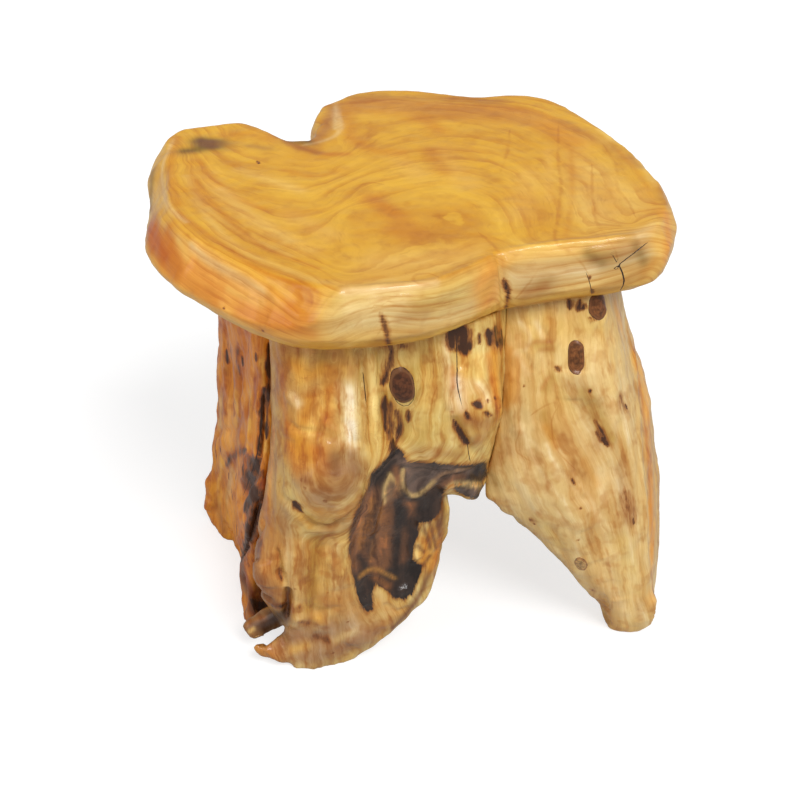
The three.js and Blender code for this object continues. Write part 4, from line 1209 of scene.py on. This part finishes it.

# The side: orange-red at the left end, peach round the corner, and the pale front face, with painted
# highlights and a painted dark reflection on the rim.
side_tints = [
    ("peach", 1.0, 20, [(175, 258), (205, 275), (245, 300), (285, 322)]),
    ("orange", 0.9, 10, [(152, 225), (158, 250), (176, 272)], [(168, 232), (176, 262)]),
    ("rust", 0.95, 10, [(154, 232), (165, 256)], [(149, 226), (154, 244)]),
    ("orange", 0.7, 9, [(172, 268), (190, 284), (215, 300)]),
    ("orange", 0.7, 8, [(240, 312), (275, 324), (312, 334)], [(290, 308), (310, 318)]),
    # Painted highlight on the rounded left side.
    ("cream", 0.4, 5, [(192, 246), (212, 262), (242, 280), (262, 292)]),
    ("butter", 0.5, 4, [(228, 290), (262, 304)], [(178, 240), (188, 258)]),
    ("amber", 0.9, 4, [(296, 286), (308, 292), (310, 302), (303, 313)]),
    ("amber", 0.7, 2.6, [(288, 284), (299, 292), (300, 302), (294, 309)],
        [(314, 290), (319, 298), (312, 312)]),
    ("sand", 0.95, 15, [(338, 325), (380, 322), (430, 318), (470, 306)]),
    ("straw", 0.9, 14, [(345, 305), (390, 300), (440, 298), (475, 285)]),
    # Painted highlight along the top edge of the front face.
    ("cream", 0.7, 4, [(345, 291), (400, 287), (436, 283)]),
    ("peach", 0.85, 11, [(480, 285), (493, 272)], [(488, 300), (496, 290)]),
    ("amber", 0.5, 8, [(484, 296), (496, 276)]),
    ("bark", 0.4, 6, [(380, 340), (430, 334)], [(400, 318), (425, 314)]),
    ("sand", 1.0, 20, [(520, 280), (560, 275), (600, 265), (638, 255)]),
    ("ash", 0.55, 12, [(600, 260), (640, 250)], [(545, 285), (530, 290)]),
    ("olive", 0.4, 7, [(590, 250), (612, 258)], [(538, 286), (548, 280)]),
    ("cream", 0.5, 10, [(515, 275), (550, 270), (590, 272)], [(352, 312), (400, 306)]),
    ("butter", 0.55, 4, [(505, 252), (553, 246), (612, 240)]),
    ("cream", 0.5, 6, [(640, 234), (655, 226)]),
    ("butter", 0.8, 8, [(660, 224), (664, 250)]),
    ("butter", 0.45, 15, [(596, 168), (622, 190), (636, 214)], [(585, 200), (600, 222)]),
    ("peach", 0.8, 8, [(666, 215), (669, 240), (666, 258)]),
    ("amber", 0.5, 5, [(655, 262), (644, 272)]),
    ("bark", 0.5, 8, [(600, 290), (640, 276)], [(520, 306), (560, 300)]),
    # Painted reflection: a dark greenish band on the rounded left end, where the lacquer mirrors dark
    # surroundings.
    ("moss", 0.6, 6, [(152, 172), (151, 190), (150, 212)]),
    ("clay", 0.85, 9, [(314, 141), (326, 128), (334, 108)]),
    ("moss", 0.7, 6, [(290, 141), (308, 143)]),
    ("soot", 0.8, 3, [(290, 140), (308, 141)]),
    ("cream", 0.4, 2.5, [(335, 99), (337, 111), (341, 125), (336, 135), (323, 141), (305, 145)]),
    ("moss", 0.5, 5, [(588, 254), (602, 263)], [(636, 246), (644, 262)]),
    ("clay", 0.5, 5, [(524, 296), (545, 286)]),
]
seat.tint(side_tints)

# Dark stains, drying cracks and amber veins.
seat_stains = [
    (1.8, 1.2, [(257, 161), (260, 164)], [(224, 308)], [(263, 331)]),
    (3.6, 1.1, [(504, 279), (508, 294)]),
    (2.6, 0.8, [(508, 294), (506, 308)]),
    (2.2, 1.1, [(589, 275), (590, 279)], [(592, 289), (593, 296)], [(621, 289), (619, 293)]),
    (3.2, 0.9, [(380, 312), (385, 328), (389, 346)]),
]
seat.mark(seat_stains)
seat_cracks = [
    (0.5, [(648, 242), (638, 250), (625, 260), (612, 270)]),
    (0.7, [(617, 262), (622, 272), (624, 282), (620, 291)]),
    (0.35, [(612, 254), (620, 268)], [(586, 272), (590, 284), (592, 296)]),
]
seat.draw("crack", seat_cracks)
seat_veins = [
    (1.1, [(510, 129), (508, 146), (505, 160), (500, 172)]),
    (1.2, [(559, 120), (558, 156), (561, 182), (560, 199), (558, 219), (555, 240), (568, 251),
        (580, 261), (589, 275)]),
    (1.1, [(603, 144), (616, 166), (618, 189), (627, 200), (636, 218)]),
    (1.1, [(592, 163), (592, 190), (594, 213), (600, 228), (614, 248), (618, 261)]),
    (1.0, [(478, 232), (489, 241), (498, 251), (503, 262), (504, 278)]),
    (1.0, oval((426, 279), 13, 5.5)),
    (0.8, [(352, 330), (368, 314), (392, 306), (425, 308), (452, 304)]),
    (0.8, [(330, 335), (350, 316), (376, 302), (404, 296), (440, 298), (470, 290)]),
    (0.8, [(375, 338), (390, 322), (420, 320), (450, 316), (480, 304)]),
    (0.8, [(330, 318), (346, 304), (372, 295)], [(514, 300), (530, 282), (540, 266)]),
    (0.9, [(300, 286), (310, 292), (312, 303), (303, 316)], [(354, 190), (368, 183), (386, 185)]),
]
seat.draw("vein", seat_veins)

# The growth rings: down the top from back to front, then across the side.
seat_rings = [
    (-15, [(360, 98), (400, 96), (450, 100), (520, 106), (590, 132), (640, 170), (662, 205)]),
    (0, [(338, 118), (370, 118), (420, 112), (480, 116), (540, 134), (590, 165), (618, 195),
        (630, 222)]),
    (0, [(232, 135), (258, 139), (290, 148), (320, 158), (345, 150), (352, 138)]),
    (15, [(205, 150), (223, 162), (243, 171), (278, 176), (312, 178), (329, 175), (343, 166),
        (380, 148), (450, 136), (510, 148), (550, 172), (578, 205), (586, 238)]),
    (34, [(190, 152), (200, 172), (222, 188), (258, 200), (298, 208), (330, 205), (345, 188),
        (380, 176), (450, 164), (495, 172), (530, 200), (545, 242)]),
    (52, [(184, 155), (192, 175), (205, 197), (226, 211), (250, 225), (278, 240), (305, 254),
        (329, 266), (352, 270), (362, 268), (362, 257), (357, 240), (348, 222), (350, 210), (362, 216),
        (380, 222), (410, 212), (440, 198), (470, 202), (495, 224), (502, 244)]),
    (62, [(176, 150), (174, 178), (192, 195), (217, 216), (243, 235), (271, 249), (295, 259),
        (326, 271), (343, 280), (375, 275), (420, 266), (470, 256), (500, 246)]),
    (78, [(168, 155), (168, 185), (175, 205), (188, 218), (205, 235), (230, 249), (261, 264),
        (295, 276), (312, 283), (322, 292)]),
    (96, [(160, 200), (175, 228), (205, 252), (243, 272), (275, 292), (300, 315)]),
    (120, [(152, 225), (175, 258), (210, 285), (250, 308), (285, 325)]),
    (80, [(345, 300), (390, 293), (440, 287), (480, 270), (498, 262)]),
    (100, [(335, 318), (360, 308), (385, 305), (420, 305), (470, 295), (497, 280)]),
    (122, [(330, 338), (360, 322), (385, 318), (420, 322), (470, 312), (500, 300)]),
    (62, [(507, 258), (560, 254), (620, 246), (650, 240)]),
    (85, [(512, 285), (560, 278), (610, 270), (655, 255)]),
    (108, [(520, 305), (560, 297), (610, 288), (655, 270)]),
]
seat.lay_grain(np.array([0.1, -0.6, -0.5]), seat_rings)
seat_lacquer = lacquered_wood(
    "seat_lacquer", ring_spacing=8, rings=0.45, swirl=4,
    streaks=0.65, blotches=0.35, scribbles=0.1, unevenness=0.8,
)
seat.finish("seat_wood", seat_lacquer, "seat_slab")

# The knots: dead branch stubs, dark and close-grained, glued back into their pockets and
# sanded to low domes that overlap the rim of the pocket a little.


def knot_lacquer(name, core, rim):
    """Dark close-grained knot wood with a paler rim, under the same lacquer."""
    material = bpy.data.materials.new(name)
    mix = Wiring(material)
    place = mix.add("ShaderNodeTexCoord").outputs["Object"]
    cloud = mix.clouds(place, 220, 4)
    out = mix.sum("MULTIPLY_ADD", mix.sum("SUBTRACT", cloud, 0.5), 0.25, mix.mark("from_heart"))
    colour = mix.blend(mix.fade(cloud, 0.35, 0.65), core, tuple(part * 0.45 for part in core))
    rings = mix.sum("SINE", mix.sum("MULTIPLY", out, 26))
    colour = mix.shade(mix.fade(rings, 0.2, 1.0, 0, 0.45), colour, (0.50, 0.42, 0.36))
    colour = mix.blend(mix.fade(out, 0.72, 0.86, 0, 0.8), colour, rim)
    colour = mix.blend(mix.fade(out, 0.93, 0.99, 0, 0.9), colour, (0.03, 0.012, 0.008))
    mix.join(colour, mix.shader.inputs["Base Color"])
    mix.join(0.35, mix.shader.inputs["Roughness"])
    mix.join(0.25, mix.shader.inputs["Specular IOR Level"])
    mix.join(0.12, mix.shader.inputs["Coat Weight"])
    mix.join(0.2, mix.shader.inputs["Coat Roughness"])
    bump_height = 1.0 * mm
    bump = mix.add("ShaderNodeBump", {"Height": cloud, "Strength": 0.3, "Distance": bump_height})
    mix.join(bump.outputs[0], mix.shader.inputs["Normal"])
    return material


def knot_dome(node, carving, pixel, width, height, lean, squareness, material):
    """A low dome that follows the wood where the photograph shows the knot.

    It stands on the carved wood, a little sunk in at its rim.
    """
    dome_rise = 1.4
    rim_depth = 0.2
    clear_of_wood = 15
    centre, _ = seen_on(carving.tree, pixel)
    ring = [seen_on(carving.tree, spot)[1] for spot in oval(pixel, width, height, lean)[1:]]
    outwards = sum(ring, Vector()).normalized()
    across = Vector((0, 0, 1)).cross(outwards).normalized()
    up = outwards.cross(across)
    plug = bmesh.new()
    bmesh.ops.create_uvsphere(plug, u_segments=48, v_segments=24, radius=1)
    heart = plug.verts.layers.float.new("from_heart")
    for vert in plug.verts:
        x, y, z = vert.co
        vert[heart] = math.hypot(x, y)
        wobble = 1 + 0.08 * noise.noise(Vector((x, y, 0)) * 1.7 + centre * 90)
        x = math.copysign(abs(x) ** squareness, x) * width / 2 * wobble
        y = math.copysign(abs(y) ** squareness, y) * height / 2 * wobble
        tip = math.radians(lean)
        sideways = x * math.cos(tip) + y * math.sin(tip)
        upwards = y * math.cos(tip) - x * math.sin(tip)
        over = centre + (across * sideways + up * upwards + outwards * clear_of_wood) * mm
        under, _, _, _ = carving.tree.ray_cast(over, -outwards)
        vert.co = under + outwards * (dome_rise * z - rim_depth) * mm
    bmesh.ops.recalc_face_normals(plug, faces=plug.faces)
    mesh = bpy.data.meshes.new(node + "_dome")
    plug.to_mesh(mesh)
    plug.free()
    mesh.shade_smooth()
    mesh.materials.append(material)
    dome = bpy.data.objects.new(node + "_dome", mesh)
    scene.collection.objects.link(dome)
    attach(dome, "root")
    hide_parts(node)


dark_knot = knot_lacquer("dark_knot_lacquer", (0.125, 0.040, 0.014), (0.20, 0.085, 0.032))
brown_knot = knot_lacquer("brown_knot_lacquer", (0.24, 0.085, 0.024), (0.20, 0.075, 0.024))
pale_knot = knot_lacquer("pale_knot_lacquer", (0.68, 0.40, 0.14), (0.34, 0.14, 0.05))

# Knot: its node, the carving it sits in, its middle's pixel, its width, height and lean,
# how square its outline is, where 1 is an oval and less is squarer, and its lacquer.
knots = [
    ("front_knot", trunk, (402.5, 387), 22, 39, -10, 0.95, dark_knot),
    ("side_knot", right, (576, 357), 15, 31, 0, 0.75, brown_knot),
    ("upper_knot", right, (599, 306), 21, 24, 0, 0.95, brown_knot),
    ("foot_knot", right, (581, 564), 13, 22, 0, 1.0, pale_knot),
]
for knot in knots:
    knot_dome(*knot)

# The dowels: turned beech pins, glued into holes across the seams and under the seat, where
# nothing shows them. They keep their solids and get bare wood.

dowel_finish = bpy.data.materials.new("bare_dowel")
mix = Wiring(dowel_finish)
place = mix.add("ShaderNodeTexCoord").outputs["Object"]
fibre = mix.clouds(place, 300, 3)
mix.join(mix.blend(fibre, (0.55, 0.38, 0.19), (0.76, 0.58, 0.34)), mix.shader.inputs["Base Color"])
mix.join(0.7, mix.shader.inputs["Roughness"])
for name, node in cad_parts.items():
    if "dowel" in name:
        node.data.materials.clear()
        node.data.materials.append(dowel_finish)

# The floor: a plain pale sheet under the stool's feet. It is white to the camera, and keeps
# the stool's soft shadow.

floor_mesh = bpy.data.meshes.new("floor")
floor_reach = 8
ground = bmesh.new()
bmesh.ops.create_grid(ground, x_segments=2, y_segments=2, size=floor_reach)
ground.to_mesh(floor_mesh)
ground.free()
floor = bpy.data.objects.new("floor", floor_mesh)
scene.collection.objects.link(floor)
floor_finish = bpy.data.materials.new("pale_floor")
mix = Wiring(floor_finish)
path = mix.add("ShaderNodeLightPath").outputs
floor_colour = mix.blend(path["Is Camera Ray"], (0.55, 0.55, 0.55), (0.42, 0.42, 0.42))
mix.join(floor_colour, mix.shader.inputs["Base Color"])
mix.join(0.9, mix.shader.inputs["Roughness"])
mix.join(0.1, mix.shader.inputs["Specular IOR Level"])
mix.join((1, 1, 1, 1), mix.shader.inputs["Emission Color"])
mix.join(mix.sum("MULTIPLY", path["Is Camera Ray"], 0.68), mix.shader.inputs["Emission Strength"])
floor_mesh.materials.append(floor_finish)

# The studio: an even pale surround and two soft suns, high on the right and low on the left,
# with the camera where the photograph was taken from.

world = bpy.data.worlds.new("studio")
scene.world = world
world.use_nodes = True
tree = world.node_tree
background = tree.nodes["Background"]
background.inputs["Color"].default_value = (1, 1, 1, 1)
# White to the camera, and an even glow on the wood.
lamp_path = tree.nodes.new("ShaderNodeLightPath")
strength = tree.nodes.new("ShaderNodeMapRange")
strength.inputs["To Min"].default_value = 0.42
strength.inputs["To Max"].default_value = 1.0
tree.links.new(lamp_path.outputs["Is Camera Ray"], strength.inputs["Value"])
tree.links.new(strength.outputs[0], background.inputs["Strength"])


def add_sun(name, comes_from, spread, power):
    """A soft sun: a broad lamp so far off that it lights the floor evenly."""
    sun = bpy.data.lights.new(name, "SUN")
    sun.energy = power
    sun.angle = math.radians(spread)
    holder = bpy.data.objects.new(name, sun)
    holder.rotation_euler = Vector(comes_from).to_track_quat("Z", "Y").to_euler()
    scene.collection.objects.link(holder)


add_sun("key_sun", comes_from=(0.32, -0.62, 0.80), spread=24, power=2.2)
add_sun("fill_sun", comes_from=(-0.75, -0.45, 0.45), spread=40, power=0.7)

camera = bpy.data.objects.new("camera", bpy.data.cameras.new("camera"))
camera.data.sensor_width = 36
camera.data.lens = photo_focal / photo_side * camera.data.sensor_width
camera.location = photo_eye
camera.rotation_euler = towards_photo.to_track_quat("Z", "Y").to_euler()
scene.collection.objects.link(camera)
scene.camera = camera
scene.view_settings.view_transform = "Standard"
